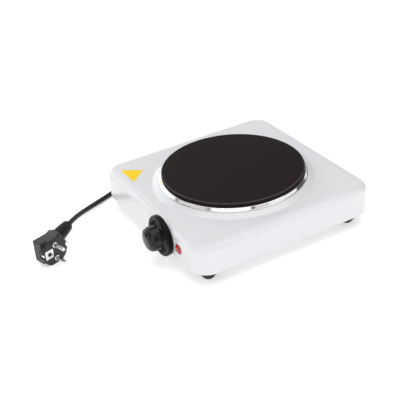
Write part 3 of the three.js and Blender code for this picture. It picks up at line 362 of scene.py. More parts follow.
def red_lamp_plastic():
    look = Finish("red_lamp_plastic", Transmission_Weight=0.45, IOR=1.49, Metallic=0.0)
    grain = look.effect(GRAIN, Scale=500.0)["Grain"]
    look.colour(grain, (0.50, 0.010, 0.016), (0.64, 0.018, 0.024))
    look.roughness(grain, 0.06, 0.14)
    look.bump(grain, 0.05, mm(0.05))
    return look.material


def clear_glass():
    look = Finish("clear_glass", Transmission_Weight=1.0, IOR=1.5, Metallic=0.0)
    smears = look.effect(HANDLING, Scale=60.0)["Smears"]
    look.colour(smears, (0.92, 0.94, 0.94), (0.84, 0.88, 0.88))
    look.roughness(smears, 0.02, 0.08)
    return look.material


def sticker_film(name, dark, light):
    look = Finish(name, Specular_IOR_Level=0.25)
    grain = look.effect(GRAIN, Scale=900.0)["Grain"]
    look.colour(grain, dark, light)
    look.roughness(grain, 0.38, 0.5)
    look.bump(grain, 0.05, mm(0.03))
    return look.material


satin_black = moulded_plastic(
    "satin_black_plastic", (0.0040, 0.0040, 0.0043), (0.0075, 0.0075, 0.0080),
    0.28, 0.40, 700.0, 0.10, Specular_IOR_Level=0.08)
finishes = {
    "enamel": white_enamel(),
    "cast_iron": cast_iron_coating(),
    "stainless": polished_stainless(),
    "plated_steel": brushed_metal(
        "plated_steel", (0.60, 0.59, 0.57), (0.76, 0.75, 0.73), 0.14, 0.30),
    "galvanised_steel": galvanised_sheet(),
    "spring_steel": brushed_metal(
        "spring_steel", (0.24, 0.22, 0.19), (0.44, 0.41, 0.37), 0.34, 0.55),
    "brass": brushed_metal("brass", (0.50, 0.36, 0.15), (0.70, 0.54, 0.26), 0.24, 0.42),
    "black_gloss_plastic": moulded_plastic(
        "black_gloss_plastic", (0.0035, 0.0035, 0.0038), (0.0060, 0.0060, 0.0064),
        0.06, 0.13, 420.0, 0.03, Specular_IOR_Level=0.3),
    "black_pvc": moulded_plastic(
        "black_pvc", (0.0055, 0.0052, 0.0058), (0.0100, 0.0096, 0.0106), 0.30, 0.44, 1100.0, 0.18,
        Specular_IOR_Level=0.4),
    "black_rubber": moulded_plastic(
        "black_rubber", (0.0070, 0.0070, 0.0072), (0.0160, 0.0155, 0.0155), 0.58, 0.80, 1300.0, 0.35),
    "ceramic": moulded_plastic(
        "ceramic", (0.66, 0.61, 0.52), (0.80, 0.76, 0.68), 0.5, 0.7, 900.0, 0.25),
    "red_lens": red_lamp_plastic(),
    "neon_glass": clear_glass(),
    "brown_wire": moulded_plastic(
        "brown_wire", (0.090, 0.034, 0.016), (0.130, 0.052, 0.026), 0.4, 0.55, 900.0, 0.2),
    "blue_wire": moulded_plastic(
        "blue_wire", (0.018, 0.075, 0.28), (0.030, 0.11, 0.36), 0.4, 0.55, 900.0, 0.2),
    "green_wire": moulded_plastic(
        "green_wire", (0.06, 0.22, 0.03), (0.42, 0.40, 0.03), 0.4, 0.55, 220.0, 0.2),
    "sticker": sticker_film("sticker_yellow", (0.84, 0.555, 0.001), (0.92, 0.61, 0.002)),
}
sticker_ink = sticker_film("sticker_ochre", (0.30, 0.205, 0.002), (0.36, 0.25, 0.003))

for subpart in frame["record"]["subparts"]:
    node = frame["nodes"][subpart["node"]]
    for place in node.material_slots:
        place.material = finishes[subpart["material_slot"]]


# ---------------------------------------------------------------------------------------------
# Making meshes
# ---------------------------------------------------------------------------------------------
def mark_edges(bm, crease):
    """Smooth faces, with edges kept sharp where the faces meet at more than the crease angle."""
    limit = math.radians(crease)
    for face in bm.faces:
        face.smooth = True
    for edge in bm.edges:
        edge.smooth = len(edge.link_faces) != 2 or edge.calc_face_angle(0) < limit


def as_object(name, bm, crease=32, materials=()):
    bmesh.ops.remove_doubles(bm, verts=bm.verts, dist=1e-6)
    bmesh.ops.recalc_face_normals(bm, faces=bm.faces)
    mark_edges(bm, crease)
    mesh = bpy.data.meshes.new(name)
    bm.to_mesh(mesh)
    bm.free()
    for material in materials:
        mesh.materials.append(material)
    made = bpy.data.objects.new(name, mesh)
    bpy.context.scene.collection.objects.link(made)
    return made


def settle(made, crease=32):
    """Apply the object's modifiers and mark its edges again."""
    bpy.context.view_layer.update()
    graph = bpy.context.evaluated_depsgraph_get()
    mesh = bpy.data.meshes.new_from_object(made.evaluated_get(graph), depsgraph=graph)
    made.modifiers.clear()
    rough = made.data
    made.data = mesh
    mesh.name = made.name
    bpy.data.meshes.remove(rough)
    bm = bmesh.new()
    bm.from_mesh(mesh)
    mark_edges(bm, crease)
    bm.to_mesh(mesh)
    bm.free()
    return made


def carve(made, cutter, operation="DIFFERENCE", crease=32):
    change = made.modifiers.new("carve", "BOOLEAN")
    change.operation = operation
    change.solver = "EXACT"
    change.object = cutter
    settle(made, crease)
    bpy.data.objects.remove(cutter)
    return made


def length_along(edge, axis):
    first, second = edge.verts
    return abs(first.co[axis] - second.co[axis])


def soften(bm, geometry, width, segments, affect="EDGES", clamp=True):
    """Round edges or corners by a width in mm."""
    bmesh.ops.bevel(
        bm, geom=geometry, offset=mm(width), offset_type="OFFSET", segments=segments, profile=0.5,
        affect=affect, material=-1, clamp_overlap=clamp)


def spun(profile, steps, place=None, closed=False):
    """A profile of (radius, height) or (radius, height, rounding) in mm, turned round z."""
    bm = bmesh.new()
    corners = [bm.verts.new((mm(entry[0]), 0, mm(entry[1]))) for entry in profile]
    for first, second in zip(corners, corners[1:]):
        bm.edges.new((first, second))
    if closed:
        bm.edges.new((corners[-1], corners[0]))
    for rounding in sorted({entry[2] for entry in profile if len(entry) > 2}):
        soft = [vert for vert, entry in zip(corners, profile) if entry[2:] == (rounding,)]
        soften(bm, soft, rounding, 5, "VERTICES", clamp=False)
    bmesh.ops.spin(
        bm, geom=bm.verts[:] + bm.edges[:], cent=(0, 0, 0), axis=(0, 0, 1), angle=2 * math.pi,
        steps=steps, use_merge=True)
    bmesh.ops.remove_doubles(bm, verts=bm.verts, dist=1e-6)
    if place is not None:
        bmesh.ops.transform(bm, matrix=place, verts=bm.verts)
    return bm


def block(low, high, place=None, rounding=0.0):
    """A box between two corners in mm, its edges rounded."""
    bm = bmesh.new()
    bmesh.ops.create_cube(bm, size=1)
    size = [mm(b - a) for a, b in zip(low, high)]
    middle = [mm((a + b) / 2) for a, b in zip(low, high)]
    bmesh.ops.scale(bm, vec=size, verts=bm.verts)
    bmesh.ops.translate(bm, vec=middle, verts=bm.verts)
    if rounding:
        soften(bm, bm.edges[:], rounding, 3)
    if place is not None:
        bmesh.ops.transform(bm, matrix=place, verts=bm.verts)
    return bm


def joined(*parts):
    """One bmesh out of several."""
    whole = parts[0]
    for part in parts[1:]:
        carrier = bpy.data.meshes.new("carrier")
        part.to_mesh(carrier)
        part.free()
        whole.from_mesh(carrier)
        bpy.data.meshes.remove(carrier)
    return whole


def belongs(made, body, slot, *nodes):
    """Ride on a body, take a finish and stand for CAD nodes."""
    if not made.data.materials:
        made.data.materials.append(finishes[slot])
    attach(made, body)
    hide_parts(*nodes)
    return made


# ---------------------------------------------------------------------------------------------
# Mains cord: from the strain relief, twice round the coil, and along the floor to the plug
# ---------------------------------------------------------------------------------------------
CORD_DIAMETER = 6.8
EXIT_X, EXIT_Y, EXIT_Z = -147.8, 80, 30
COIL_X, COIL_Y = -144.2, 20
COIL_INNER, COIL_OUTER = 30.4, 37.6
COIL_LOW, COIL_HIGH = 4.6, 11.4
COIL_STEPS = 18

FROM_HOUSING = [
    (-136, 80, 30), (-147.8, 80, 30), (-150.5, 80, 29.8), (-157.5, 78.9, 28.8), (-165.5, 75.6, 26.6),
    (-172.3, 70.3, 23.1), (-177.6, 63.5, 19.8), (-180.8, 55.5, 17.1), (-181.8, 47, 14.9),
    (-182, 39, 13.4), (-181.9, 32.5, 12.4), (-181.8, 27, 11.8),
]
TO_PLUG = [
    (-181.6, 8, 4.6), (-180.6, -6, 4.2), (-177.8, -24, 3.6), (-172.6, -44, 3.5), (-165.8, -64, 3.5),
    (-158.2, -82, 3.5), (-150, -97.6, 3.5), (-141.6, -113.2, 3.6), (-131.2, -135.4, 4.4),
    (-118.3, -158.9, 7.2), (-102.9, -179.6, 12), (-88.3, -195, 16.2), (-79.5, -204.5, 17.6),
    (-74.2, -211.4, 17.6),
]


def coil_turns():
    """One turn inwards on the upper layer, a step down, and one turn outwards on the floor."""
    places = []
    for step in range(2 * COIL_STEPS + 1):
        turn = step / COIL_STEPS
        angle = math.pi + 2 * math.pi * turn
        if turn <= 1:
            radius = COIL_OUTER + (COIL_INNER - COIL_OUTER) * turn
            fall = min(1.0, max(0.0, (turn - 0.8) / 0.2))
            height = COIL_HIGH + (COIL_LOW - COIL_HIGH) * fall * fall * (3 - 2 * fall)
        else:
            radius = COIL_INNER + (COIL_OUTER - COIL_INNER) * (turn - 1)
            height = COIL_LOW
        places.append((COIL_X + radius * math.cos(angle), COIL_Y + radius * math.sin(angle), height))
    return places


def power_cord():
    route = [point(*p) + Vector((0, MIDDLE_Y, 0)) for p in FROM_HOUSING + coil_turns() + TO_PLUG]
    line = bpy.data.curves.new("power_cord", "CURVE")
    line.dimensions = "3D"
    line.resolution_u = 6
    line.bevel_depth = mm(CORD_DIAMETER) / 2
    line.bevel_resolution = 5
    line.use_fill_caps = True
    spline = line.splines.new("BEZIER")
    spline.bezier_points.add(len(route) - 1)
    for knot, place in zip(spline.bezier_points, route):
        knot.co = place
        knot.handle_left_type = "AUTO"
        knot.handle_right_type = "AUTO"
    line.materials.append(finishes["black_pvc"])
    made = bpy.data.objects.new("power_cord", line)
    bpy.context.scene.collection.objects.link(made)
    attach(made, "body")
    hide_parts("power_cord_body_side", "power_cord_plug_side", "cord_coil")
    return made


cord = power_cord()

STRAP_WIDTH = 8
STRAP_THICKNESS = 0.9


def cord_tie():
    """A flat strap round both turns at the rear of the coil."""
    middle = COIL_Y + (COIL_INNER + COIL_OUTER) / 2
    low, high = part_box("cord_tie")
    wide = (high[1] - low[1]) * 1000
    tall = (high[2] - low[2]) * 1000
    half = STRAP_WIDTH / 2
    strap = block((-half, -wide / 2, 0), (half, wide / 2, tall))
    ends = [face for face in strap.faces if abs(face.normal.x) > 0.9]
    bmesh.ops.delete(strap, geom=ends, context="FACES_ONLY")
    long_edges = [edge for edge in strap.edges if length_along(edge, 0) > mm(1)]
    soften(strap, long_edges, 3.2, 6)
    place = Matrix.Translation(point(COIL_X, middle, low[2] * 1000) + Vector((0, MIDDLE_Y, 0)))
    bmesh.ops.transform(strap, matrix=place, verts=strap.verts)
    made = as_object("cord_tie_strap", strap, 40)
    wall = made.modifiers.new("wall", "SOLIDIFY")
    wall.thickness = mm(STRAP_THICKNESS)
    wall.offset = -1
    wall.use_even_offset = True
    settle(made, 40)
    return belongs(made, "body", "black_rubber", "cord_tie")


tie = cord_tie()


# ---------------------------------------------------------------------------------------------
# Strain relief at the housing
# ---------------------------------------------------------------------------------------------
def strain_relief():
    """A tapered sleeve with a flange against the wall and rings cut round it."""
    profile = [(0, -3.0), (7.9, -3.0, 0.4), (7.9, -1.5), (6, -1.5), (6, 0.3), (8.6, 0.3, 0.3),
               (8.6, 2.0, 0.6), (6.7, 2.4, 0.3)]
    rings = 5
    first, last = 4.6, 18.2
    for ring in range(rings):
        near = first + (last - first) * ring / rings
        outer = 6.5 - 1.7 * (near - first) / (last - first)
        profile += [(outer, near, 0.25), (outer - 1.0, near + 0.25, 0.2),
                    (outer - 1.05, near + 1.15, 0.2), (outer - 0.1, near + 1.4, 0.25)]
    profile += [(4.9, 18.5), (4.75, 20.0, 0.5), (0, 20.0)]
    place = (Matrix.Translation(Vector((LEFT, MIDDLE_Y + mm(EXIT_Y), mm(EXIT_Z))))
             @ Matrix.Rotation(-math.pi / 2, 4, "Y"))
    made = as_object("strain_relief_sleeve", spun(profile, 40, place))
    return belongs(made, "body", "black_rubber", "cord_strain_relief")


relief = strain_relief()

# ---------------------------------------------------------------------------------------------
# Plug: its own frame has +X along the pins, and the cord leaves towards +Y
# ---------------------------------------------------------------------------------------------
PLUG_PLACE = (Matrix.Translation(point(-33, -240.9, 17.6) + Vector((0, MIDDLE_Y, 0)))
              @ Matrix.Rotation(math.radians(17.5), 4, "Z"))
PLUG_RADIUS = 19.25
PLUG_FLAT = 17.5
PLUG_DEPTH = 19.4
PIN_SPACING = 19
EARTH_OFFSET = 9.6
SLEEVE_START = Vector((-19, 10, 0))
SLEEVE_END = Vector((-33.2, 48, 0))
FACE_TO_PLUG = Matrix(((0, 0, 1, 0), (1, 0, 0, 0), (0, 1, 0, 0), (0, 0, 0, 1)))
EARTH_HOLE = Matrix.Translation(point(0, -EARTH_OFFSET, 0)) @ FACE_TO_PLUG


def pin_place(side):
    return Matrix.Translation(point(0, 0, side * PIN_SPACING / 2)) @ FACE_TO_PLUG


def plug_disc(radius, flat, near, far, rounding):
    """A round slab with two flats, between two depths behind the face."""
    bm = bmesh.new()
    bmesh.ops.create_circle(bm, cap_ends=True, segments=96, radius=mm(radius))
    for side in (-1, 1):
        bmesh.ops.bisect_plane(
            bm, geom=bm.verts[:] + bm.edges[:] + bm.faces[:], dist=1e-6,
            plane_co=(0, side * mm(flat), 0), plane_no=(0, side, 0), clear_outer=True)
    bmesh.ops.translate(bm, vec=(0, 0, -mm(near)), verts=bm.verts)
    pushed = bmesh.ops.extrude_face_region(bm, geom=bm.faces[:])
    moved = [item for item in pushed["geom"] if isinstance(item, bmesh.types.BMVert)]
    bmesh.ops.translate(bm, vec=(0, 0, -mm(far - near)), verts=moved)
    bmesh.ops.recalc_face_normals(bm, faces=bm.faces)
    rims = [edge for edge in bm.edges if length_along(edge, 2) < 1e-7]
    soften(bm, rims, rounding, 4)
    bmesh.ops.transform(bm, matrix=FACE_TO_PLUG, verts=bm.verts)
    return bm


def ribbed_sleeve():
    """The bend relief behind the plug: a cone with raised rings and a plain collar at its end."""
    axis = SLEEVE_END - SLEEVE_START
    length = axis.length
    profile = [(0, -2), (10.2, -2), (9.8, 12.5)]
    rings = 5
    first, last = 13.0, 33.5
    for ring in range(rings):
        near = first + (last - first) * ring / rings
        outer = 9.4 - 1.5 * (near - first) / (last - first)
        profile += [(outer - 1.7, near), (outer - 1.7, near + 1.5),
                    (outer, near + 1.9), (outer, near + 4.0)]
    profile += [(6.2, last + 0.2), (6.2, last + 1.5), (7.7, last + 1.8), (7.3, length), (0, length)]
    turn = Vector((0, 0, 1)).rotation_difference(axis).to_matrix().to_4x4()
    return spun(profile, 64, Matrix.Translation(SLEEVE_START * 0.001) @ turn)


def grip():
    """The squarer back of the plug that fingers hold: crisp along its top, round underneath."""
    bm = block((-PLUG_DEPTH, -17.6, -16.4), (-4.5, 15.5, 17.4))
    under = [edge for edge in bm.edges if all(vert.co.z < 0 for vert in edge.verts)]
    soften(bm, under, 7.5, 6)
    sharp = [edge for edge in bm.edges if edge.calc_face_angle(0) > math.radians(60)]
    soften(bm, sharp, 1.0, 3)
    return bm


def wedge():
    """The moulded shoulder that leads from the grip into the sleeve."""
    bm = block((-30, -7, -12.4), (-16, 18, 12.4))
    for vert in bm.verts:
        if vert.co.x < mm(-20):
            vert.co.x = mm(-20.8 if vert.co.y < 0 else -31.0)
    soften(bm, bm.edges[:], 2.2, 4)
    return bm


def plug_body():
    made = as_object("plug_moulding", plug_disc(PLUG_RADIUS, PLUG_FLAT, 0, 10, 1.2))
    for side in (-1, 1):
        near, far = sorted((side * (PLUG_RADIUS - 2.6), side * (PLUG_RADIUS + 3)))
        carve(made, as_object("cutter", block((-12.3, near, -2.8), (3, far, 2.8))))
    bore = spun([(0, -12), (3.0, -12), (3.0, 4), (0, 4)], 32, EARTH_HOLE)
    carve(made, as_object("cutter", bore))
    whole = bmesh.new()
    whole.from_mesh(made.data)
    collars = [
        spun([(0, -2), (4.5, -2), (4.5, 0.9, 0.3), (0, 0.9)], 32, pin_place(side))
        for side in (-1, 1)
    ]
    whole = joined(whole, ribbed_sleeve(), grip(), wedge(), *collars)
    bmesh.ops.transform(whole, matrix=PLUG_PLACE, verts=whole.verts)
    whole.to_mesh(made.data)
    whole.free()
    skin = made.modifiers.new("skin", "REMESH")
    skin.mode = "VOXEL"
    skin.voxel_size = mm(0.42)
    skin.use_smooth_shade = True
    even = made.modifiers.new("even", "SMOOTH")
    even.factor = 0.5
    even.iterations = 3
    settle(made, 180)
    return belongs(made, "body", "black_pvc", "plug_body")


def plug_pin(name, side):
    """A round pin with a soft tip and a bright collar where it meets the face."""
    profile = [(0, -8), (2.4, -8), (2.4, 0.7), (3.5, 0.7, 0.1), (3.5, 1.2, 0.2), (2.4, 1.2, 0.1),
               (2.4, 17.4, 0.4), (1.5, 19.0, 0.5), (0, 19.0)]
    made = as_object(name, spun(profile, 36, PLUG_PLACE @ pin_place(side)))
    return belongs(made, "body", "plated_steel", "plug_pin_upper" if side > 0 else "plug_pin_lower")


def plug_earth_contact():
    """The square contact on the face with its socket hole, and the strip bent over the rim."""
    face = block((-0.2, -15.7, -6.1), (0.6, -3.5, 6.1), rounding=0.25)
    plate = as_object("plug_earth_contact", face)
    clip = as_object("clip", block((-11.7, -17.5, -2.3), (-0.6, -16.4, 2.3), rounding=0.2))
    carve(plate, clip, "UNION")
    bore = spun([(0, -3), (2.6, -3), (2.6, 4), (0, 4)], 40, EARTH_HOLE)
    carve(plate, as_object("bore", bore))
    bm = bmesh.new()
    bm.from_mesh(plate.data)
    socket = spun(
        [(2.6, 0.9, 0.1), (3.1, 0.9, 0.15), (3.1, 0.3), (2.9, 0.3), (2.9, -6), (2.6, -6)],
        40, EARTH_HOLE, closed=True)
    bm = joined(bm, socket)
    bmesh.ops.transform(bm, matrix=PLUG_PLACE, verts=bm.verts)
    bmesh.ops.recalc_face_normals(bm, faces=bm.faces)
    mark_edges(bm, 32)
    bm.to_mesh(plate.data)
    bm.free()
    return belongs(plate, "body", "plated_steel", "plug_earth_plate")


plug_pieces = [
    plug_body(), plug_pin("plug_pin_top", 1), plug_pin("plug_pin_bottom", -1), plug_earth_contact(),
]


# ---------------------------------------------------------------------------------------------
# Housing
# ---------------------------------------------------------------------------------------------
WIDTH = (housing_high[0] - housing_low[0]) * 1000
DEPTH = (housing_high[1] - housing_low[1]) * 1000
HEIGHT = (HOUSING_TOP - BOTTOM) * 1000
CORNER = 24.5
FILLET = 6
SHEET = 1.2
COLLAR = 4.2
GROOVE = 0.8
PLATE_HOLE = 89.2
KNOB_HOLE = 5.3
LAMP_HOLE = 5.0


def on_level(edge, height):
    return all(abs(vert.co.z - height) < mm(0.01) for vert in edge.verts)


def housing_shell():
    """The pressed sheet: open below, a shallow groove round its top, a mound under the plate."""
    bm = block((-WIDTH / 2, -DEPTH / 2, 0), (WIDTH / 2, DEPTH / 2, HEIGHT))
    floor = [face for face in bm.faces if face.normal.z < -0.9]
    bmesh.ops.delete(bm, geom=floor, context="FACES_ONLY")
    upright = [edge for edge in bm.edges if length_along(edge, 2) > mm(1)]
    soften(bm, upright, CORNER, 14, clamp=False)
    rim = [edge for edge in bm.edges if on_level(edge, mm(HEIGHT))]
    soften(bm, rim, FILLET, 12, clamp=False)
    roof = max(bm.faces, key=lambda face: face.calc_area() * (face.normal.z > 0.9))
    for width, drop in ((0.4, 0), (1.2, -GROOVE), (1.2, GROOVE), (1.2, 0)):
        bmesh.ops.inset_region(
            bm, faces=[roof], thickness=mm(width), depth=mm(drop), use_even_offset=True)
    bmesh.ops.delete(bm, geom=[roof], context="FACES_ONLY")
    mound = spun([(108, HEIGHT), (103.4, HEIGHT, 2.6), (97.6, HEIGHT + COLLAR, 1.6),
                  (PLATE_HOLE + 0.8, HEIGHT + COLLAR, 0.6), (PLATE_HOLE, HEIGHT + COLLAR - 0.9)], 144)
    bm = joined(bm, mound)
    bm.edges.ensure_lookup_table()
    outline = [edge for edge in bm.edges if edge.is_boundary and on_level(edge, mm(HEIGHT))]
    bmesh.ops.triangle_fill(
        bm, edges=outline, use_beauty=True, use_dissolve=False, normal=(0, 0, 1))
    bmesh.ops.translate(bm, vec=(0, MIDDLE_Y, BOTTOM), verts=bm.verts)
    made = as_object("enamelled_housing", bm, 40)
    wall = made.modifiers.new("wall", "SOLIDIFY")
    wall.thickness = mm(SHEET)
    wall.offset = -1
    wall.use_even_offset = True
    settle(made, 40)
    for centre, radius in ((knob_axis, KNOB_HOLE), (lamp_axis, LAMP_HOLE)):
        hole = spun([(0, -6), (radius, -6), (radius, 6), (0, 6)], 32, centre)
        carve(made, as_object("hole", hole), crease=40)
    return belongs(made, "body", "enamel", "housing")


def outward_at(low, high):
    """The place of a round piece on the front: its own z axis points out of the front face."""
    centre = Vector(((low[0] + high[0]) / 2, FRONT, (low[2] + high[2]) / 2))
    return Matrix.Translation(centre) @ Matrix.Rotation(math.pi / 2, 4, "X")


knob_axis = outward_at(bezel_low, bezel_high)
lamp_axis = outward_at(lamp_low, lamp_high)
housing_shell()


# ---------------------------------------------------------------------------------------------
# Plate and ring
# ---------------------------------------------------------------------------------------------
def hot_plate():
    """The iron casting: a flat face with a soft rim, and the skirt, rib and boss under it."""
    top = PLATE_TOP * 1000
    profile = [
        (0, top), (60, top), (91.0, top, 0.6), (92.5, top - 0.9, 0.7), (92.5, top - 5.0, 0.4),
        (88.5, top - 5.5, 0.4), (88.5, top - 12.4, 0.5), (84, top - 12.4, 0.5), (84, top - 5, 1),
        (42, top - 5, 1), (42, top - 11, 0.5), (38, top - 11, 0.5), (38, top - 5, 1), (9, top - 5, 1),
        (9, top - 21.3, 0.5), (3.3, top - 21.3, 0.3), (3.3, top - 6.1, 0.2), (0, top - 6.1),
    ]
    made = as_object("cast_iron_plate", spun(profile, 160, AXIS))
    return belongs(made, "body", "cast_iron", "hot_plate")


def spill_ring():
    """The polished ring: a thin foot on the housing, and a wall curving up under the plate."""
    floor = HOUSING_TOP * 1000 + COLLAR + SEAT_GAP
    lip = PLATE_TOP * 1000 - 5.8
    profile = [
        (89.3, floor), (96.2, floor, 0.1), (96.1, floor + 0.45, 0.15), (95.4, floor + 0.5, 0.35),
        (93.5, lip - 0.3, 0.3), (92.8, lip, 0.2), (89.3, lip), (89.3, lip - 0.7),
        (92.4, lip - 0.8), (94.4, floor + 0.9), (94.4, floor + 0.6), (89.3, floor + 0.6),
    ]
    made = as_object("polished_ring", spun(profile, 160, AXIS, closed=True))
    return belongs(made, "body", "stainless", "spill_ring")


hot_plate()
spill_ring()

# ---------------------------------------------------------------------------------------------
# Knob, bezel and lamp
# ---------------------------------------------------------------------------------------------
FLUTES = 12
FLUTE_RADIUS = 1.7
FLUTE_CENTRE = 17.5
FLUTE_LEAN = 0.08


def press_flutes(bm):
    """Push the wall in where round flutes, leaning towards the dome, cut into it."""
    pitch = 2 * math.pi / FLUTES
    for vert in bm.verts:
        x, y, z = vert.co * 1000
        radius = math.hypot(x, y)
        if radius < 11 or z < 8:
            continue
        angle = math.atan2(y, x)
        off = (angle / pitch) % 1.0 - 0.5
        centre = FLUTE_CENTRE - FLUTE_LEAN * z
        across = centre * math.sin(off * pitch)
        if abs(across) >= FLUTE_RADIUS:
            continue
        reach = centre * math.cos(off * pitch) - math.sqrt(FLUTE_RADIUS ** 2 - across ** 2)
        if reach < radius:
            vert.co.x *= reach / radius
            vert.co.y *= reach / radius


def knob():
    front = 25.2
    profile = [
        (0, front), (4, front - 0.1), (7.2, front - 0.42), (10.2, front - 1.1), (12.6, front - 2.2),
        (14.1, front - 3.7), (14.95, front - 5.5), (15.4, front - 7.6), (15.8, front - 10.3),
        (16.05, front - 13), (16.4, 9.4, 0.3), (16.0, 8.6, 0.3), (14.0, 8.6, 0.3), (13.4, 17),
        (7.2, 20, 0.6), (6.8, 9.2, 0.4), (3.3, 9.2), (3.3, 19.9), (0, 19.9),
    ]
    bm = spun(profile, 24 * FLUTES)
    rows = [edge for edge in bm.edges if length_along(edge, 2) > mm(2)]
    bmesh.ops.subdivide_edges(bm, edges=rows, cuts=2, use_grid_fill=True)
    press_flutes(bm)
    bmesh.ops.transform(bm, matrix=knob_axis, verts=bm.verts)
    made = as_object("fluted_knob", bm, 28)
    return belongs(made, "knob_and_spindle", "black_gloss_plastic", "knob")


def bezel():
    profile = [
        (KNOB_HOLE, 0.3), (25.6, 0.3, 0.3), (26.1, 1.2), (26.1, 5.8, 0.3), (25.3, 7.1, 0.5),
        (22.2, 7.1, 0.6),
        (20.4, 5.4, 0.8), (18.9, 2.9, 0.9), (17.2, 2.2, 0.6), (KNOB_HOLE, 2.2),
    ]
    bm = spun(profile, 120, knob_axis, closed=True)
    made = as_object("knob_bezel_dish", bm, 30, (satin_black,))
    return belongs(made, "body", "black_gloss_plastic", "knob_bezel")


def lamp():
    profile = [
        (0, 2.6), (3.2, 2.35, 1.0), (5.3, 1.6, 0.7), (6.3, 0.75, 0.3), (6.3, 0.3, 0.1),
        (4.7, 0.3), (4.7, -8, 0.3), (3.4, -8, 0.2), (3.4, 0.2, 0.5), (0, 0.9),
    ]
    made = as_object("pilot_lamp_lens", spun(profile, 64, lamp_axis), 30)
    return belongs(made, "body", "red_lens", "lamp_lens")


knob()
bezel()
lamp()


# ---------------------------------------------------------------------------------------------
# Feet and screws
# ---------------------------------------------------------------------------------------------
def screw(name, node, slot, seat, head, shank):
    """A pan-head screw pointing up from its seat in mm, its head (radius, height) below."""
    low_corner, high_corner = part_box(node)
    x, y = (low_corner[0] + high_corner[0]) / 2, (low_corner[1] + high_corner[1]) / 2
    tip = high_corner[2] * 1000
    radius, height = head
    low = seat - height
    profile = [(0, low), (radius * 0.55, low, 0.4), (radius, low + height * 0.45, 0.5),
               (radius, seat, 0.15), (shank, seat), (shank, tip, 0.5), (0, tip)]
    made = as_object(name, spun(profile, 36, Matrix.Translation((x, y, 0))))
    for turn in (0, math.pi / 2):
        arm = Matrix.Translation((x, y, mm(low))) @ Matrix.Rotation(turn + 0.4, 4, "Z")
        carve(made, as_object("arm", block((-2.0, -0.42, -1.0), (2.0, 0.42, 1.3), arm)))
    return belongs(made, "body", slot, node)


def rubber_foot(name, x, y, node):
    crown = BOTTOM * 1000 - SEAT_GAP
    profile = [
        (4.6, 0, 0.3), (5.8, 0, 0.5), (7.1, 1.5, 0.8), (8.7, 3.7, 1.0), (10.0, 6.2, 1.2),
        (10.6, 9.5, 1.2), (10.6, crown, 0.4), (2.2, crown), (2.2, 6.0), (4.6, 6.0, 0.2),
    ]
    made = as_object(name, spun(profile, 56, Matrix.Translation((x, y, 0)), closed=True))
    return belongs(made, "body", "black_rubber", node)


FOOT_SCREW_SEAT = 5.7

for corner in ("front_left", "front_right", "rear_left", "rear_right"):
    low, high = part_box("foot_screw_" + corner)
    x, y = (low[0] + high[0]) / 2, (low[1] + high[1]) / 2
    rubber_foot("rubber_foot_" + corner, x, y, "foot_" + corner)
    screw("cross_screw_" + corner, "foot_screw_" + corner, "plated_steel",
          seat=FOOT_SCREW_SEAT, head=(3.8, 2.5), shank=1.9)

screw("earth_cross_screw", "earth_screw", "brass",
      seat=BOTTOM * 1000 - SEAT_GAP, head=(3.4, 1.8), shank=1.9)


# ---------------------------------------------------------------------------------------------
# Sticker
# ---------------------------------------------------------------------------------------------
def sticker():
    """A plain yellow triangle with soft corners and a darker line set in from its edge."""
    low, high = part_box("yellow_sticker")
    left, right = low[0], high[0]
    middle = (left + right) / 2 - mm(1.5)
    bm = bmesh.new()
    corners = [bm.verts.new(p) for p in ((left, low[1], 0), (right, low[1], 0), (middle, high[1], 0))]
    bm.faces.new(corners)
    soften(bm, bm.verts[:], 1.4, 5, "VERTICES")
    face = bm.faces[:]
    bmesh.ops.inset_region(bm, faces=face, thickness=mm(1.5), use_even_offset=True)
    bmesh.ops.inset_region(bm, faces=face, thickness=mm(1.2), use_even_offset=True)
    bm.faces.ensure_lookup_table()
    line = [item for item in bm.faces if item not in face][-len(face[0].verts):]
    for item in line:
        item.material_index = 1
    film = bmesh.ops.extrude_face_region(bm, geom=bm.faces[:], use_keep_orig=True)
    raised = [item for item in film["geom"] if isinstance(item, bmesh.types.BMVert)]
    bmesh.ops.translate(bm, vec=(0, 0, mm(0.12)), verts=raised)
    bmesh.ops.translate(bm, vec=(0, 0, HOUSING_TOP + mm(0.02)), verts=bm.verts)
    made = as_object("plain_yellow_sticker", bm, 30, (finishes["sticker"], sticker_ink))
    return belongs(made, "body", "sticker", "yellow_sticker")


sticker()


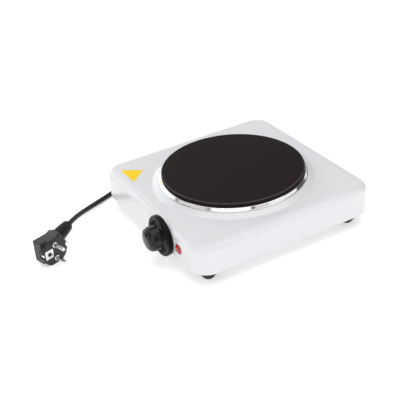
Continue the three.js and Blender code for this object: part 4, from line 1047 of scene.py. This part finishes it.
# ---------------------------------------------------------------------------------------------
# Studio
# ---------------------------------------------------------------------------------------------
def studio_floor():
    bm = bmesh.new()
    bmesh.ops.create_grid(bm, x_segments=1, y_segments=1, size=4.0)
    made = as_object("studio_floor", bm)
    paper = Finish("studio_paper", Roughness=0.9, Specular_IOR_Level=0.1, Emission_Strength=0.4)
    paper.shader.inputs["Base Color"].default_value = (0.92, 0.92, 0.92, 1)
    paper.shader.inputs["Emission Color"].default_value = (1, 1, 1, 1)
    made.data.materials.append(paper.material)


def softbox(name, azimuth, elevation, distance, size, radiance):
    """A flat rectangular light of one even brightness, aimed at the middle of the appliance."""
    turn, lift = math.radians(azimuth), math.radians(elevation)
    level = distance * math.cos(lift)
    place = Vector((math.cos(turn) * level, math.sin(turn) * level, distance * math.sin(lift)))
    lamp_data = bpy.data.lights.new(name, "AREA")
    lamp_data.shape = "RECTANGLE"
    lamp_data.size, lamp_data.size_y = size
    lamp_data.energy = radiance * math.pi * size[0] * size[1]
    made = bpy.data.objects.new(name, lamp_data)
    facing = (-place).to_track_quat("-Z", "Y").to_matrix().to_4x4()
    made.matrix_world = Matrix.Translation(place) @ facing
    bpy.context.scene.collection.objects.link(made)


studio_floor()
SIDE_LIFT = 20
SIDE_DISTANCE = 2.2
SIDE_HEIGHT = 1.9

softbox("overhead_panel", 90, 84, 1.9, (2.4, 2.2), 1.95)
for name, azimuth, width, radiance in (
        ("camera_side_panel", -37, 2.2, 1.4),
        ("front_panel", -98, 1.78, 0.72),
        ("left_panel", -160, 2.75, 1.4),
        ("narrow_right_panel", 9, 0.62, 0.75),
        ("right_panel", 47, 1.96, 1.0),
        ("back_panel", 162, 2.5, 0.4)):
    softbox(name, azimuth, SIDE_LIFT, SIDE_DISTANCE, (width, SIDE_HEIGHT), radiance)
softbox("spark", -52, 48, 1.8, (0.16, 0.16), 14.0)

world = bpy.data.worlds.new("studio_white")
world.use_nodes = True
backdrop = world.node_tree.nodes["Background"]
backdrop.inputs["Color"].default_value = (1.0, 1.0, 1.0, 1)
backdrop.inputs["Strength"].default_value = 0.12
bpy.context.scene.world = world
bpy.context.scene.view_settings.view_transform = "Standard"
